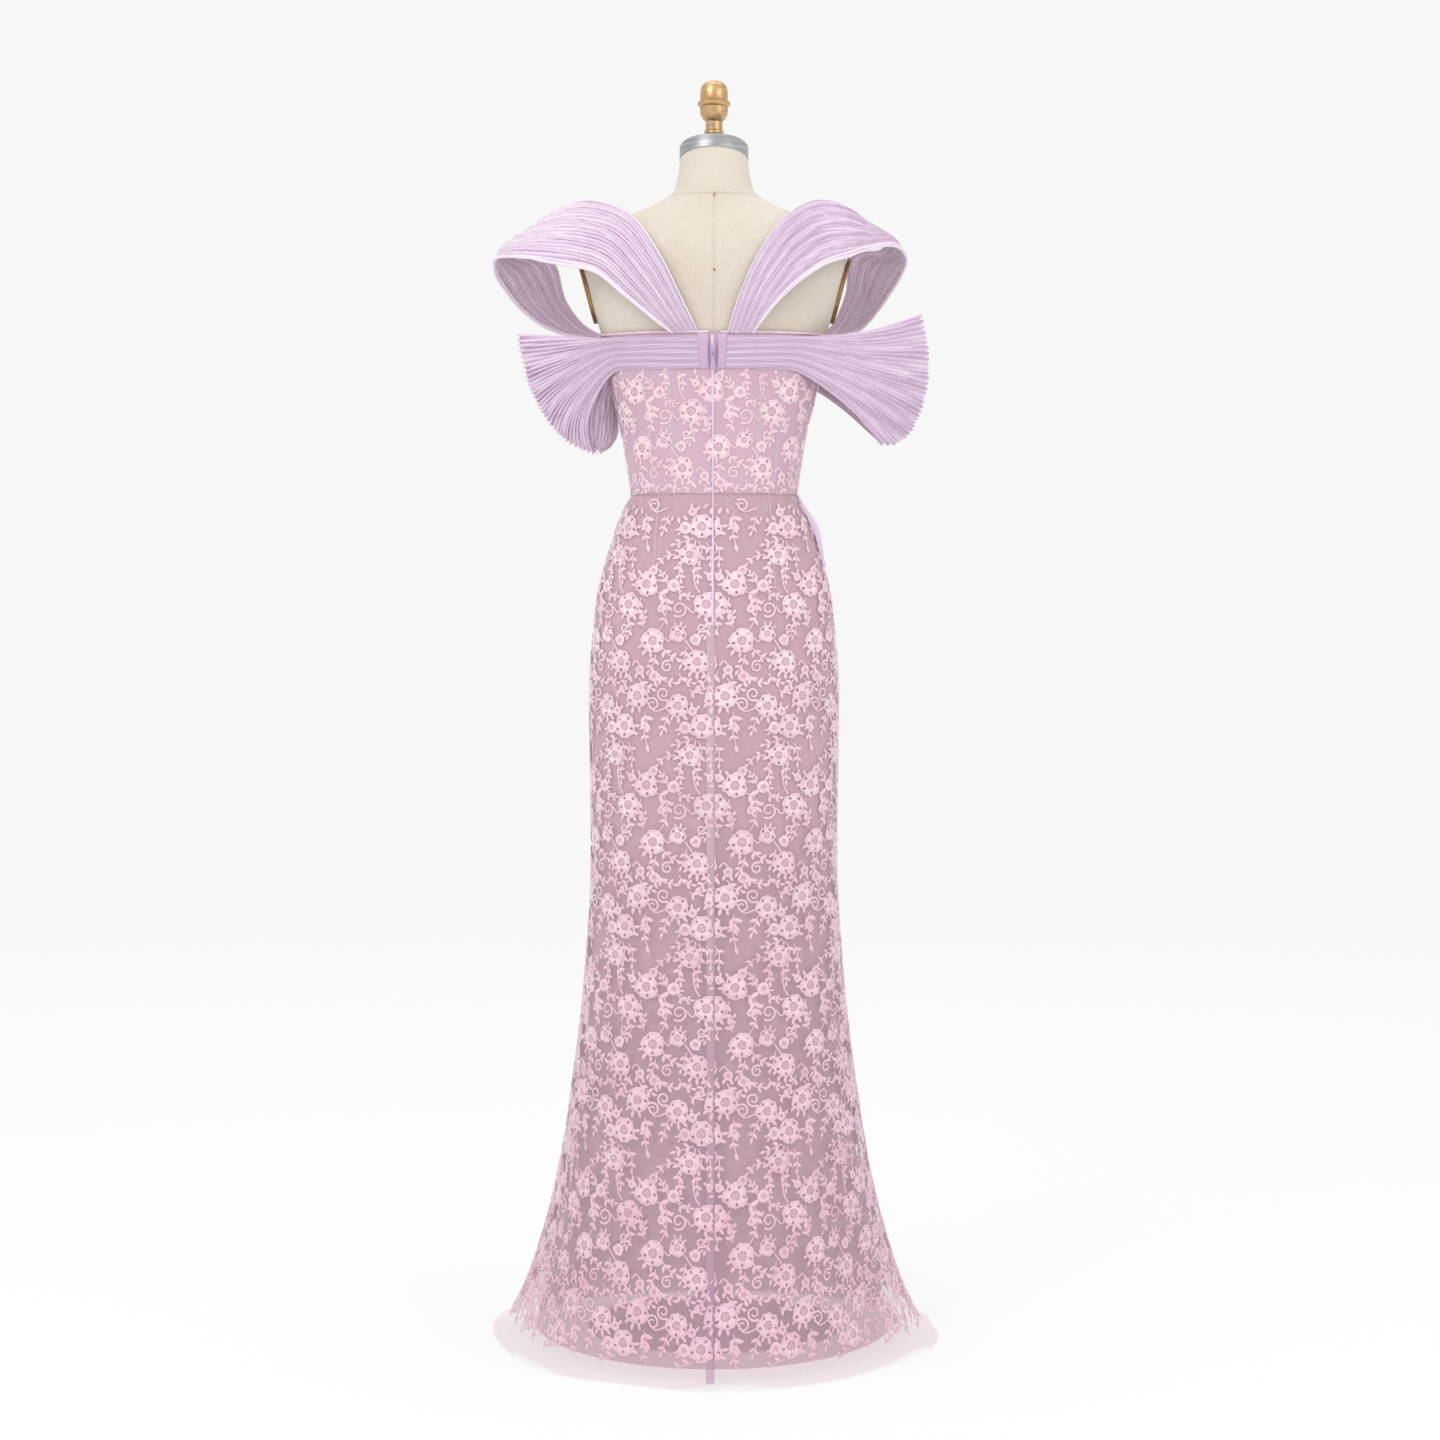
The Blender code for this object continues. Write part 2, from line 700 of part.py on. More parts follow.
def pleated(name, grid, depths, thickness_of, end_normals):
    """Pleated wall on a smooth grid: even columns are valleys and odd ones ridges.

    Its two ends lie flat on the body, whose outward directions there are given.
    """
    normals = row_normals(grid, False)
    for end, away in zip((0, -1), end_normals):
        normals[end] = [away if away.dot(normal) > 0 else -away for normal in normals[end]]
    outer = []
    inner = []
    for r, (row, turned, depth) in enumerate(zip(grid, normals, depths)):
        outer.append([])
        inner.append([])
        for c, (point, normal) in enumerate(zip(row, turned)):
            ridge = depth * (1 if c % 2 else -1)
            half = thickness_of(r, c) / 2
            outer[-1].append(point + normal * (ridge + half))
            inner[-1].append(point + normal * (ridge - half))
    add_object(name, wall_mesh(outer, inner), "organza", 15.0)


def add_fan(side):
    """Fan of pleats round the upper arm, open above and below."""
    fan = FANS[side]
    lines = 2 * FAN_PLEATS + 1
    steps = [(s, False) for s in FAN_STEPS] + [(s, True) for s in reversed(FAN_STEPS[:-1])]
    grid = []
    depths = []
    for step, front in steps:
        grid.append([fan_point(fan, step, front, c / (lines - 1)) for c in range(lines)])
        depths.append(BAND_PLEAT_DEPTH / 2 + (FAN_PLEAT_DEPTH - BAND_PLEAT_DEPTH / 2) * step)
    ends = [outward(BAND_TOP, fan[key]) for key in ("back_column", "front_column")]
    pleated("arm_fan_" + side, grid, depths, lambda r, c: ORGANZA_WALL, ends)


def foot_row(columns, shares):
    """Foot of a loop: a row of points that lies on the bodice, just above the band."""
    out = BODICE_OUT + SEAM_GAP + ORGANZA_WALL / 2 + LOOP_PLEAT_DEPTH / 3
    height = BAND_TOP + 2 * SEAM_GAP + LOOP_PLEAT_DEPTH
    return [body_point(height, mix(*columns, share), out) for share in shares]


def add_loop(side):
    """Wide pleated loop over the shoulder, its lower edge rolled and its feet on the bodice."""
    loop = LOOPS[side]
    lines = 2 * LOOP_PLEATS + 1
    shares = [c / (lines - 1) for c in range(lines)]
    feet = ([column_at(x) for x in loop["back_foot"]], loop["front_columns"])
    grid = [foot_row(feet[0], shares)]
    for row in loop["sections"]:
        grid.append([mix(Vector(row[:3]), Vector(row[3:]), share) for share in shares])
    grid.append(foot_row(feet[1], shares))
    depths = []
    for row in grid:
        pitch = (row[-1] - row[0]).length / LOOP_PLEATS
        depths.append(min(LOOP_PLEAT_DEPTH, pitch * LOOP_PLEAT_STEEPNESS))
    ends = [outward(BODICE_TOP, sum(columns) / 2) for columns in feet]

    def thickness(r, c):
        rolled = c == lines - 1 and 0 < r < len(grid) - 1
        return ROLLED_EDGE if rolled else ORGANZA_WALL

    pleated("shoulder_loop_" + side, grid, depths, thickness, ends)


def add_hip_drape():
    """Organza drape in front of the right side seam, made from the skirt's points, moved out."""
    columns = [DRAPE_FIRST_COLUMN]
    columns += [c / 2 for c in range(2 * math.ceil(DRAPE_FIRST_COLUMN), 2 * DRAPE_LAST_COLUMN + 1)]
    outer = []
    inner = []
    top = DRAPE_HEIGHTS[0]
    for height in DRAPE_HEIGHTS:
        fall = (top - height) / (top - DRAPE_HEIGHTS[-1])
        outer.append([])
        inner.append([])
        for column in columns:
            across = (column - columns[0]) / (columns[-1] - columns[0])
            fold = 0.5 - 0.5 * math.cos(math.tau * DRAPE_FOLDS * across + math.pi)
            stand_off = DRAPE_STAND_OFF * (1.0 - across) * math.sin(math.pi * min(1.0, fall + 0.1))
            lift = SEAM_GAP + 0.0003 + stand_off + DRAPE_FOLD_DEPTH * fold * fall
            inner[-1].append(body_point(height, column, SKIRT_OUT + lift))
            outer[-1].append(body_point(height, column, SKIRT_OUT + lift + DRAPE_WALL))
    add_object("hip_drape", wall_mesh(outer, inner), "organza")


def add_zip_coil():
    """Narrow ridge of the closed zip, from the neckline to its end below the waist."""
    heights = [BAND_TOP]
    heights += [row[0] for row in reversed(BODY) if ZIP_END < row[0] < BAND_TOP]
    heights += [ZIP_END]
    edges = [column_at(ZIP_X + shift * ZIP_WIDTH / 2) for shift in (-1, 0, 1)]
    outer = [[body_point(height, c, ZIP_OUT) for c in edges] for height in heights]
    inner = [[body_point(height, c, ZIP_IN) for c in edges] for height in heights]
    add_object("zip_coil", wall_mesh(outer, inner), "organza")


def slider_frame():
    """Matrix of the slider: X across, Y out of the back, Z up along the zip."""
    column = column_at(ZIP_X)
    low = body_point(SLIDER_HEIGHT - 0.01, column, ZIP_OUT)
    high = body_point(SLIDER_HEIGHT + 0.01, column, ZIP_OUT)
    up = (high - low).normalized()
    across = Vector((-1.0, 0.0, 0.0))
    away = up.cross(across).normalized()
    turn = Matrix((across, away, up)).transposed().to_4x4()
    return Matrix.Translation((low + high) / 2) @ turn


def box_mesh(low, high):
    made = bmesh.new()
    bmesh.ops.create_cube(made, size=1.0)
    size = Vector(high) - Vector(low)
    middle = (Vector(high) + Vector(low)) / 2
    move = Matrix.Translation(middle) @ Matrix.Diagonal((*size, 1.0))
    bmesh.ops.transform(made, matrix=move, verts=made.verts)
    return made


def hinge_height():
    """Distance of the hinge out of the coil, in the slider's frame."""
    return SEAM_GAP + SLIDER_SIZE[1] + BRIDGE_OPENING[1] / 2


def add_zip_slider():
    """Slider with a bridge over it, which the eye of the pull tab goes round."""
    width, thickness, length = SLIDER_SIZE
    frame = slider_frame()
    top = SEAM_GAP + thickness
    made = box_mesh((-width / 2, SEAM_GAP, -length / 2), (width / 2, top, length / 2))
    bmesh.ops.bevel(made, geom=made.edges[:], offset=0.0006, segments=1, affect="EDGES")
    slider = add_object("zip_slider", made, "zip_metal", 30.0)
    opening_length, opening_height = BRIDGE_OPENING
    half = opening_length / 2 + BRIDGE_BAR
    arch = (
        (half, top - 0.001),
        (half, top + opening_height + BRIDGE_BAR),
        (-half, top + opening_height + BRIDGE_BAR),
        (-half, top - 0.001),
        (-opening_length / 2, top - 0.001),
        (-opening_length / 2, top + opening_height),
        (opening_length / 2, top + opening_height),
        (opening_length / 2, top - 0.001),
    )
    made = bmesh.new()
    edge = [made.verts.new((-BRIDGE_WIDTH / 2, out, up - HINGE_DROP)) for up, out in arch]
    face = made.faces.new(edge)
    grown = bmesh.ops.extrude_face_region(made, geom=[face])
    verts = [part for part in grown["geom"] if isinstance(part, bmesh.types.BMVert)]
    bmesh.ops.translate(made, vec=(BRIDGE_WIDTH, 0.0, 0.0), verts=verts)
    bridge = add_object("zip_bridge_guide", made, "zip_metal", 30.0)
    bridge.hide_render = True
    bridge.display_type = "WIRE"
    union = slider.modifiers.new("bridge", "BOOLEAN")
    union.operation = "UNION"
    union.object = bridge
    slider.matrix_world = frame
    bridge.matrix_world = frame


def add_zip_pull():
    """Pull tab that hangs from the slider's bridge, its origin on the hinge."""
    made = bmesh.new()
    lines = []
    for down, wide, narrow in PULL_ROWS:
        across = (-wide, -narrow, narrow, wide)
        lines.append([made.verts.new((x, -PULL_THICKNESS / 2, -down)) for x in across])
    faces = []
    for r, (upper, lower) in enumerate(zip(lines, lines[1:])):
        for c in range(3):
            if c == 1 and (r, r + 1) == PULL_EYE_ROWS:
                continue
            faces.append(made.faces.new((upper[c], upper[c + 1], lower[c + 1], lower[c])))
    grown = bmesh.ops.extrude_face_region(made, geom=faces)
    verts = [part for part in grown["geom"] if isinstance(part, bmesh.types.BMVert)]
    bmesh.ops.translate(made, vec=(0.0, PULL_THICKNESS, 0.0), verts=verts)
    pull = add_object("zip_pull", made, "zip_metal", 30.0)
    pull.matrix_world = slider_frame() @ Matrix.Translation((0.0, hinge_height(), -HINGE_DROP))


def build():
    clear_scene()
    add_stand()
    add_form()
    add_arm_plate("left", -1)
    add_arm_plate("right", 1)
    add_neck_cap()
    add_finial()
    add_set_screw()
    add_bodice()
    add_skirt()
    for side in ("left", "right"):
        add_band(side)
        add_fan(side)
        add_loop(side)
    add_hip_drape()
    add_zip_coil()
    add_zip_slider()
    add_zip_pull()


build()
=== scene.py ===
"""Looks of the mermaid gown on its dress form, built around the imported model. Metres, +Z up."""
import math

import bpy
import numpy as np
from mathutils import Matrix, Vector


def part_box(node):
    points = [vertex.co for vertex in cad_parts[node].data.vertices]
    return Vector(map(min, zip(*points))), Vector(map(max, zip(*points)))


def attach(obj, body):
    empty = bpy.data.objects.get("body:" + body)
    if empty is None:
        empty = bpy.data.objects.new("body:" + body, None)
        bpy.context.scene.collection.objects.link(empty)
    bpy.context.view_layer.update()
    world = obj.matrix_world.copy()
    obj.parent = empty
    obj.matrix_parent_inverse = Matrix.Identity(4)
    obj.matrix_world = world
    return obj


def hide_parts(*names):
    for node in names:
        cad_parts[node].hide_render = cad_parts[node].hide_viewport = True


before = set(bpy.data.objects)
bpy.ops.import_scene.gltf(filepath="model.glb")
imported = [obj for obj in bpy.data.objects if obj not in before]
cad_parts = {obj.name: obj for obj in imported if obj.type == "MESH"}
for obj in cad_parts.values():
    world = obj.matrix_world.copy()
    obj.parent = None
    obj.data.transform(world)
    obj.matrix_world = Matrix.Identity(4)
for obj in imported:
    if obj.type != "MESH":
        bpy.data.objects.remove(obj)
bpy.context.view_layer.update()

GOWN = "gown_on_form"
rng = np.random.default_rng(7)

# Heights and cloth layers, as in the solids
WAIST = 1.127
BODICE_TOP = 1.338
BAND_TOP = 1.334
BAND_BOTTOM = 1.290
ZIP_END = 0.952
DART_END = 1.0
BODICE_OUT = 0.0033
LINING_OUT = 0.0017
SKIRT_OUT = 0.0039
BAND_OUT = 0.0052

# Columns are counted round the body from the centre back, over the wearer's right side
FULL_TURN = 32
BACK = 0
FRONT = 16

BODY = np.array((
    # height, half width, front, back, squareness
    (0.716, 0.1620, 0.101, 0.113, 2.15),
    (0.850, 0.1640, 0.102, 0.119, 2.15),
    (0.985, 0.1540, 0.096, 0.103, 2.15),
    (1.053, 0.1370, 0.090, 0.087, 2.15),
    (1.087, 0.1260, 0.088, 0.080, 2.15),
    (1.127, 0.1080, 0.086, 0.074, 2.15),
    (1.175, 0.1147, 0.090, 0.078, 2.15),
    (1.228, 0.1250, 0.101, 0.085, 2.2),
    (1.290, 0.1410, 0.114, 0.093, 2.3),
    (1.338, 0.1505, 0.117, 0.098, 2.4),
    (1.370, 0.1620, 0.113, 0.100, 2.7),
    (1.400, 0.1710, 0.106, 0.101, 2.8),
    (1.430, 0.1770, 0.096, 0.099, 2.8),
    (1.455, 0.1775, 0.081, 0.093, 2.7),
    (1.475, 0.1640, 0.064, 0.083, 2.4),
    (1.490, 0.1400, 0.053, 0.072, 2.2),
    (1.503, 0.1110, 0.048, 0.063, 2.1),
    (1.515, 0.0830, 0.048, 0.057, 2.0),
    (1.528, 0.0590, 0.050, 0.053, 2.0),
))
SKIRT = np.array((
    (0.640, 0.1655, 0.1085, 0.1205, 2.1),
    (0.480, 0.1745, 0.1190, 0.1310, 2.1),
    (0.400, 0.1830, 0.1270, 0.1450, 2.05),
    (0.320, 0.1940, 0.1390, 0.1700, 2.0),
    (0.240, 0.2065, 0.1525, 0.2040, 2.0),
    (0.170, 0.2215, 0.1680, 0.2430, 2.0),
    (0.110, 0.2385, 0.1810, 0.2860, 2.0),
    (0.060, 0.2570, 0.1930, 0.3280, 2.0),
    (0.020, 0.2780, 0.2050, 0.3680, 2.0),
    (0.0035, 0.2900, 0.2130, 0.3860, 2.0),
    (0.0022, 0.3000, 0.2200, 0.3950, 2.0),
))
LINING = np.array((
    (0.640, 0.1600, 0.1035, 0.1150, 2.1),
    (0.480, 0.1660, 0.1110, 0.1230, 2.1),
    (0.300, 0.1810, 0.1300, 0.1600, 2.0),
    (0.170, 0.2080, 0.1520, 0.2250, 2.0),
    (0.060, 0.2260, 0.1680, 0.2950, 2.0),
    (0.014, 0.2420, 0.1800, 0.3300, 2.0),
))
FLUTE_START = 0.46
FLUTE_DEPTH = 0.0075
HEM_FOLD = 0.009
HEM_FOLD_START = 0.03

# Waves round the skirt: how many, their share and their phase
FLUTES = ((6, 0.65, 0.5), (9, 0.35, 2.1))
HEM_WAVES = ((7, 1.0, 1.3), (12, 0.5, 0.4))


# Small tools for shapes

def smooth_table(places, values, wanted):
    """Monotone cubic through the rows of a table, at the wanted places."""
    step = np.diff(places)
    slope = np.diff(values, axis=0) / step[:, None]
    tangent = np.zeros_like(values)
    same = slope[:-1] * slope[1:] > 0
    weight = np.where(same, 2 * slope[:-1] * slope[1:] / np.where(same, slope[:-1] + slope[1:], 1), 0)
    tangent[1:-1] = weight
    tangent[0] = slope[0]
    tangent[-1] = slope[-1]
    k = np.clip(np.searchsorted(places, wanted, side="right") - 1, 0, len(places) - 2)
    t = ((wanted - places[k]) / step[k])[:, None]
    h = step[k][:, None]
    return (
        values[k] * (2 * t**3 - 3 * t**2 + 1)
        + tangent[k] * h * (t**3 - 2 * t**2 + t)
        + values[k + 1] * (3 * t**2 - 2 * t**3)
        + tangent[k + 1] * h * (t**3 - t**2)
    )


def travelled(steps):
    """Distance from the start at each point, from the lengths of the steps between them."""
    return np.concatenate([[0], np.cumsum(steps)])


def ring_angles(sides):
    return np.arange(sides) * (2 * math.pi / sides)


def signed_power(value, power):
    return np.sign(value) * np.abs(value) ** power


def section(rows, columns, out=0.0):
    """Points of many sections: rows are table rows, columns are places round the body."""
    rows = np.asarray(rows)
    angle = np.asarray(columns) * (2 * math.pi / FULL_TURN)
    height, half, front, back, square = (rows[..., i : i + 1] for i in range(5))
    power = 2 / square
    depth = np.where(np.cos(angle) < 0, front, back) + out
    x = (half + out) * signed_power(np.sin(angle), power)
    y = -depth * signed_power(np.cos(angle), power)
    return np.stack([x, y, np.broadcast_to(height, x.shape)], axis=-1)


def body_row(height):
    return smooth_table(BODY[:, 0], BODY, np.atleast_1d(np.asarray(height, float)))


def body_point(height, column, out):
    """Points on the body, for arrays of heights and columns of the same shape."""
    height = np.asarray(height, float)
    column = np.broadcast_to(np.asarray(column, float), height.shape)
    rows = body_row(height.ravel())
    points = section(rows, column.reshape(-1, 1), out)[:, 0]
    return points.reshape(height.shape + (3,))


def grid_normals(grid):
    """Unit normals of a grid of points, pointing along (down x across)."""
    normal = np.cross(np.gradient(grid, axis=0), np.gradient(grid, axis=1))
    return normal / np.maximum(np.linalg.norm(normal, axis=-1, keepdims=True), 1e-12)


def grid_faces(rows, columns, wrap):
    """Corner numbers of the faces of a grid, closed round its columns where wrap is set."""
    steps = columns if wrap else columns - 1
    r, c = np.meshgrid(np.arange(rows - 1), np.arange(steps), indexing="ij")
    upper = r * columns
    lower = upper + columns
    after = (c + 1) % columns
    return np.stack([upper + c, upper + after, lower + after, lower + c], axis=-1).reshape(-1, 4)


def capped_faces(rings, sides, rising=True):
    """Faces of a closed stack of rings with a face over each end."""
    first = list(range(sides))
    last = list(range((rings - 1) * sides, rings * sides))
    ends = [first[::-1], last] if rising else [first, last[::-1]]
    return [list(f) for f in grid_faces(rings, sides, wrap=True)] + ends


def new_mesh(name, points, faces, material, uv=None, tint=None, smooth=True, sharp=None):
    """Mesh object that rides on the gown's body, with an optional UV map and tint by point."""
    points = np.asarray(points, float).reshape(-1, 3)
    mesh = bpy.data.meshes.new(name)
    mesh.from_pydata(points.tolist(), [], [list(map(int, f)) for f in faces])
    if uv is not None:
        layer = mesh.uv_layers.new(name="cloth")
        corner = np.zeros(len(mesh.loops), int)
        mesh.loops.foreach_get("vertex_index", corner)
        layer.data.foreach_set("uv", np.asarray(uv, float).reshape(-1, 2)[corner].ravel())
    if tint is not None:
        layer = mesh.attributes.new("tint", "FLOAT", "POINT")
        layer.data.foreach_set("value", np.asarray(tint, float).ravel())
    if smooth:
        mesh.shade_smooth()
    if sharp:
        mesh.set_sharp_from_angle(angle=math.radians(sharp))
    mesh.materials.append(material)
    made = bpy.data.objects.new(name, mesh)
    bpy.context.scene.collection.objects.link(made)
    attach(made, GOWN)
    return made


def grid_object(name, grid, material, wrap=False, tint=None):
    """Mesh of a grid of points, its UV map measured in metres across and down."""
    rows, columns = grid.shape[:2]
    down = travelled(np.linalg.norm(np.diff(grid[:, columns // 2], axis=0), axis=-1))
    across = travelled(np.linalg.norm(np.diff(grid, axis=1), axis=-1).mean(axis=0))
    uv = np.stack(np.broadcast_arrays(across[None, :], down[:, None]), axis=-1)
    return new_mesh(name, grid, grid_faces(rows, columns, wrap), material, uv=uv, tint=tint)


# A direction that no cord of the gown runs along
ASIDE = (0.13, 0.21, 0.97)
SHARP_ANGLE = 35


def tube(points, radius, sides):
    """Points and faces of a round cord along a line of points, with closed ends."""
    points = np.asarray(points, float)
    tangent = np.gradient(points, axis=0)
    tangent /= np.linalg.norm(tangent, axis=1, keepdims=True)
    side = np.cross(tangent, ASIDE)
    side /= np.linalg.norm(side, axis=1, keepdims=True)
    other = np.cross(tangent, side)
    angle = ring_angles(sides)
    radius = np.broadcast_to(np.asarray(radius, float), (len(points),))
    ring = side[:, None] * np.cos(angle)[None, :, None] + other[:, None] * np.sin(angle)[None, :, None]
    grid = points[:, None] + ring * radius[:, None, None]
    return grid.reshape(-1, 3), capped_faces(len(points), sides, rising=False)


def lathe(name, profile, material, middle, sides=72, lean=0.0):
    """Turned piece from a profile of radius and height, leaned about X."""
    profile = np.asarray(profile, float)
    angle = ring_angles(sides)
    radius = profile[:, :1]
    height = np.broadcast_to(profile[:, 1:], (len(profile), sides))
    grid = np.stack([radius * np.cos(angle), radius * np.sin(angle), height], axis=-1)
    c, s = math.cos(lean), math.sin(lean)
    turn = np.array(((1, 0, 0), (0, c, -s), (0, s, c)))
    points = grid.reshape(-1, 3) @ turn.T + np.asarray(middle)
    return new_mesh(name, points, capped_faces(len(profile), sides), material, sharp=SHARP_ANGLE)


# Materials

BLACK = (0, 0, 0)
WHITE = (1, 1, 1)

# Sockets of the mix node that carry its share, its two colours and its result
MIX_SHARE = 0
MIX_FIRST = 6
MIX_SECOND = 7
MIX_RESULT = 2


def grey(value):
    return (value, value, value)


class Paint:
    """Small builder for a node material."""

    def __init__(
        self, name, colour, roughness, metallic=0.0, alpha=1.0, sheen=0.0, sheen_tint=WHITE, specular=0.5
    ):
        self.material = bpy.data.materials.new(name)
        self.material.use_nodes = True
        self.nodes = self.material.node_tree.nodes
        self.links = self.material.node_tree.links
        self.shader = self.nodes["Principled BSDF"]
        for socket, value in (
            ("Base Color", (*colour, 1)), ("Roughness", roughness), ("Metallic", metallic),
            ("Alpha", alpha), ("Sheen Weight", sheen), ("Sheen Tint", (*sheen_tint, 1)),
            ("Specular IOR Level", specular),
        ):
            self.shader.inputs[socket].default_value = value
        self.height = None
        self.coordinates = self.nodes.new("ShaderNodeTexCoord")

    def add(self, kind, **settings):
        """New node, each setting given to its input or else its property of that name."""
        node = self.nodes.new(kind)
        for key, value in settings.items():
            if key in node.inputs.keys():
                node.inputs[key].default_value = value
            else:
                setattr(node, key, value)
        return node

    def feed(self, socket, value):
        """Sets a socket to a number or colour, or links an output to it."""
        if isinstance(value, (int, float)):
            socket.default_value = value
        elif isinstance(value, tuple):
            socket.default_value = (*value, 1)
        else:
            self.links.new(value, socket)

    def place(self, scale, source):
        mapping = self.add("ShaderNodeMapping")
        mapping.inputs["Scale"].default_value = scale
        self.links.new(self.coordinates.outputs[source], mapping.inputs["Vector"])
        return mapping.outputs["Vector"]

    def noise(self, scale, detail, source="Object"):
        node = self.add("ShaderNodeTexNoise", Scale=1.0, Detail=detail)
        self.links.new(self.place(scale, source), node.inputs["Vector"])
        return node.outputs["Fac"]

    def wave(self, scale, direction, vector):
        node = self.add("ShaderNodeTexWave", Scale=scale, Distortion=0.4, bands_direction=direction)
        node.inputs["Detail"].default_value = 1.0
        self.links.new(vector, node.inputs["Vector"])
        return node.outputs["Fac"]

    def tint(self):
        """The tint that each point of a piece carries."""
        return self.add("ShaderNodeAttribute", attribute_name="tint").outputs["Fac"]

    def ramp(self, value, stops):
        node = self.add("ShaderNodeValToRGB")
        elements = node.color_ramp.elements
        while len(elements) < len(stops):
            elements.new(0.5)
        for element, (place, colour) in zip(elements, stops):
            element.position = place
            element.color = (*colour, 1)
        self.links.new(value, node.inputs["Fac"])
        return node.outputs["Color"]

    def mix(self, first, second, share, blend="MIX"):
        node = self.add("ShaderNodeMix", data_type="RGBA", blend_type=blend)
        for socket, value in ((MIX_FIRST, first), (MIX_SECOND, second), (MIX_SHARE, share)):
            self.feed(node.inputs[socket], value)
        return node.outputs[MIX_RESULT]

    def by_height(self, colour, low, top):
        """Colour that deepens by the factor low from the height top down to the floor."""
        place = self.add("ShaderNodeSeparateXYZ")
        self.links.new(self.coordinates.outputs["Object"], place.inputs[0])
        share = self.maths("DIVIDE", place.outputs["Z"], top)
        return self.mix(colour, self.ramp(share, ((0.0, low), (1.0, WHITE))), 1.0, "MULTIPLY")

    def maths(self, operation, first, second):
        node = self.add("ShaderNodeMath", operation=operation)
        self.feed(node.inputs[0], first)
        self.feed(node.inputs[1], second)
        return node.outputs[0]

    def colour(self, value):
        self.links.new(value, self.shader.inputs["Base Color"])

    def rough(self, value):
        self.links.new(value, self.shader.inputs["Roughness"])

    def bump(self, value, strength, distance):
        node = self.add("ShaderNodeBump", Strength=strength, Distance=distance)
        self.links.new(value, node.inputs["Height"])
        if self.height:
            self.links.new(self.height, node.inputs["Normal"])
        self.height = node.outputs["Normal"]
        self.links.new(self.height, self.shader.inputs["Normal"])


def srgb(red, green, blue):
    """Linear colour of screen values from 0 to 255, each above 10."""
    return tuple(((value / 255 + 0.055) / 1.055) ** 2.4 for value in (red, green, blue))


def weave(paint, pitch, strength):
    """Crossed threads as bump, the pitch in metres, on the UV map in metres."""
    vector = paint.place((1, 1, 1), "UV")
    warp = paint.wave(1 / pitch / 2, "X", vector)
    weft = paint.wave(1 / pitch / 2, "Y", vector)
    paint.bump(paint.maths("MULTIPLY", warp, weft), strength, 0.0003)


LINEN_THREADS = 700


def make_linen():
    paint = Paint("linen", srgb(216, 206, 192), 0.85, sheen=0.15)
    vector = paint.place((1, 1, 1), "UV")
    slub = paint.noise((900, 60, 1), 2.0, source="UV")
    cross = paint.noise((60, 900, 1), 2.0, source="UV")
    threads = paint.maths("MULTIPLY", slub, cross)
    large = paint.noise((6, 6, 6), 2.0)
    tone = paint.ramp(large, ((0.35, srgb(210, 199, 184)), (0.7, srgb(221, 212, 199))))
    fine = paint.ramp(threads, ((0.12, srgb(194, 183, 167)), (0.4, srgb(228, 220, 207))))
    paint.colour(paint.mix(tone, fine, 0.35))
    paint.bump(threads, 0.5, 0.0004)
    warp = paint.wave(LINEN_THREADS, "X", vector)
    weft = paint.wave(LINEN_THREADS, "Y", vector)
    paint.bump(paint.maths("ADD", warp, weft), 0.12, 0.0002)
    return paint.material


def make_organza():
    paint = Paint(
        "organza", srgb(206, 184, 214), 0.42, alpha=0.94,
        sheen=0.5, sheen_tint=srgb(250, 244, 252), specular=0.6,
    )
    streak = paint.noise((1400, 26, 1), 3.0, source="UV")
    broad = paint.noise((90, 9, 1), 2.0, source="UV")
    # Painted shade and light: the tint is how far out each pleat point lies, dark in the pleat valleys and
    # near white on the ridges.
    pleat_shade = paint.tint()
    shade_tones = ((0.0, srgb(190, 156, 188)), (0.4, srgb(228, 207, 228)), (1.0, srgb(246, 235, 246)))
    base = paint.ramp(pleat_shade, shade_tones)
    # Painted highlight: short near-white glints along the pleats, in patches, mixed into the colour.
    painted_glint = paint.ramp(streak, ((0.52, BLACK), (0.64, WHITE)))
    patch = paint.ramp(broad, ((0.42, BLACK), (0.60, WHITE)))
    painted_highlight = paint.maths("MULTIPLY", painted_glint, patch)
    paint.colour(paint.mix(base, srgb(252, 247, 252), paint.maths("MULTIPLY", painted_highlight, 0.8)))
    paint.rough(paint.ramp(streak, ((0.3, grey(0.5)), (0.7, grey(0.3)))))
    paint.bump(streak, 0.35, 0.0006)
    return paint.material


def make_drape():
    paint = Paint("drape_organza", srgb(224, 202, 230), 0.5, sheen=0.4)
    soft = paint.noise((60, 60, 14), 3.0)
    paint.colour(paint.ramp(soft, ((0.35, srgb(212, 188, 218)), (0.7, srgb(234, 216, 238)))))
    return paint.material


def make_net():
    paint = Paint("net", srgb(228, 198, 212), 0.7, alpha=0.36, sheen=0.3)
    cells = paint.noise((1500, 1500, 1500), 1.0)
    paint.colour(paint.ramp(cells, ((0.4, srgb(208, 172, 188)), (0.65, srgb(242, 214, 225)))))
    weave(paint, 0.0012, 0.4)
    return paint.material


def make_lining(name, alpha, light, dark):
    paint = Paint(name, light, 0.55, alpha=alpha, sheen=0.3)
    soft = paint.noise((7, 7, 3), 3.0)
    tone = paint.ramp(soft, ((0.35, dark), (0.68, light)))
    paint.colour(paint.by_height(tone, (0.62, 0.52, 0.62), 0.8))
    weave(paint, 0.0009, 0.25)
    return paint.material


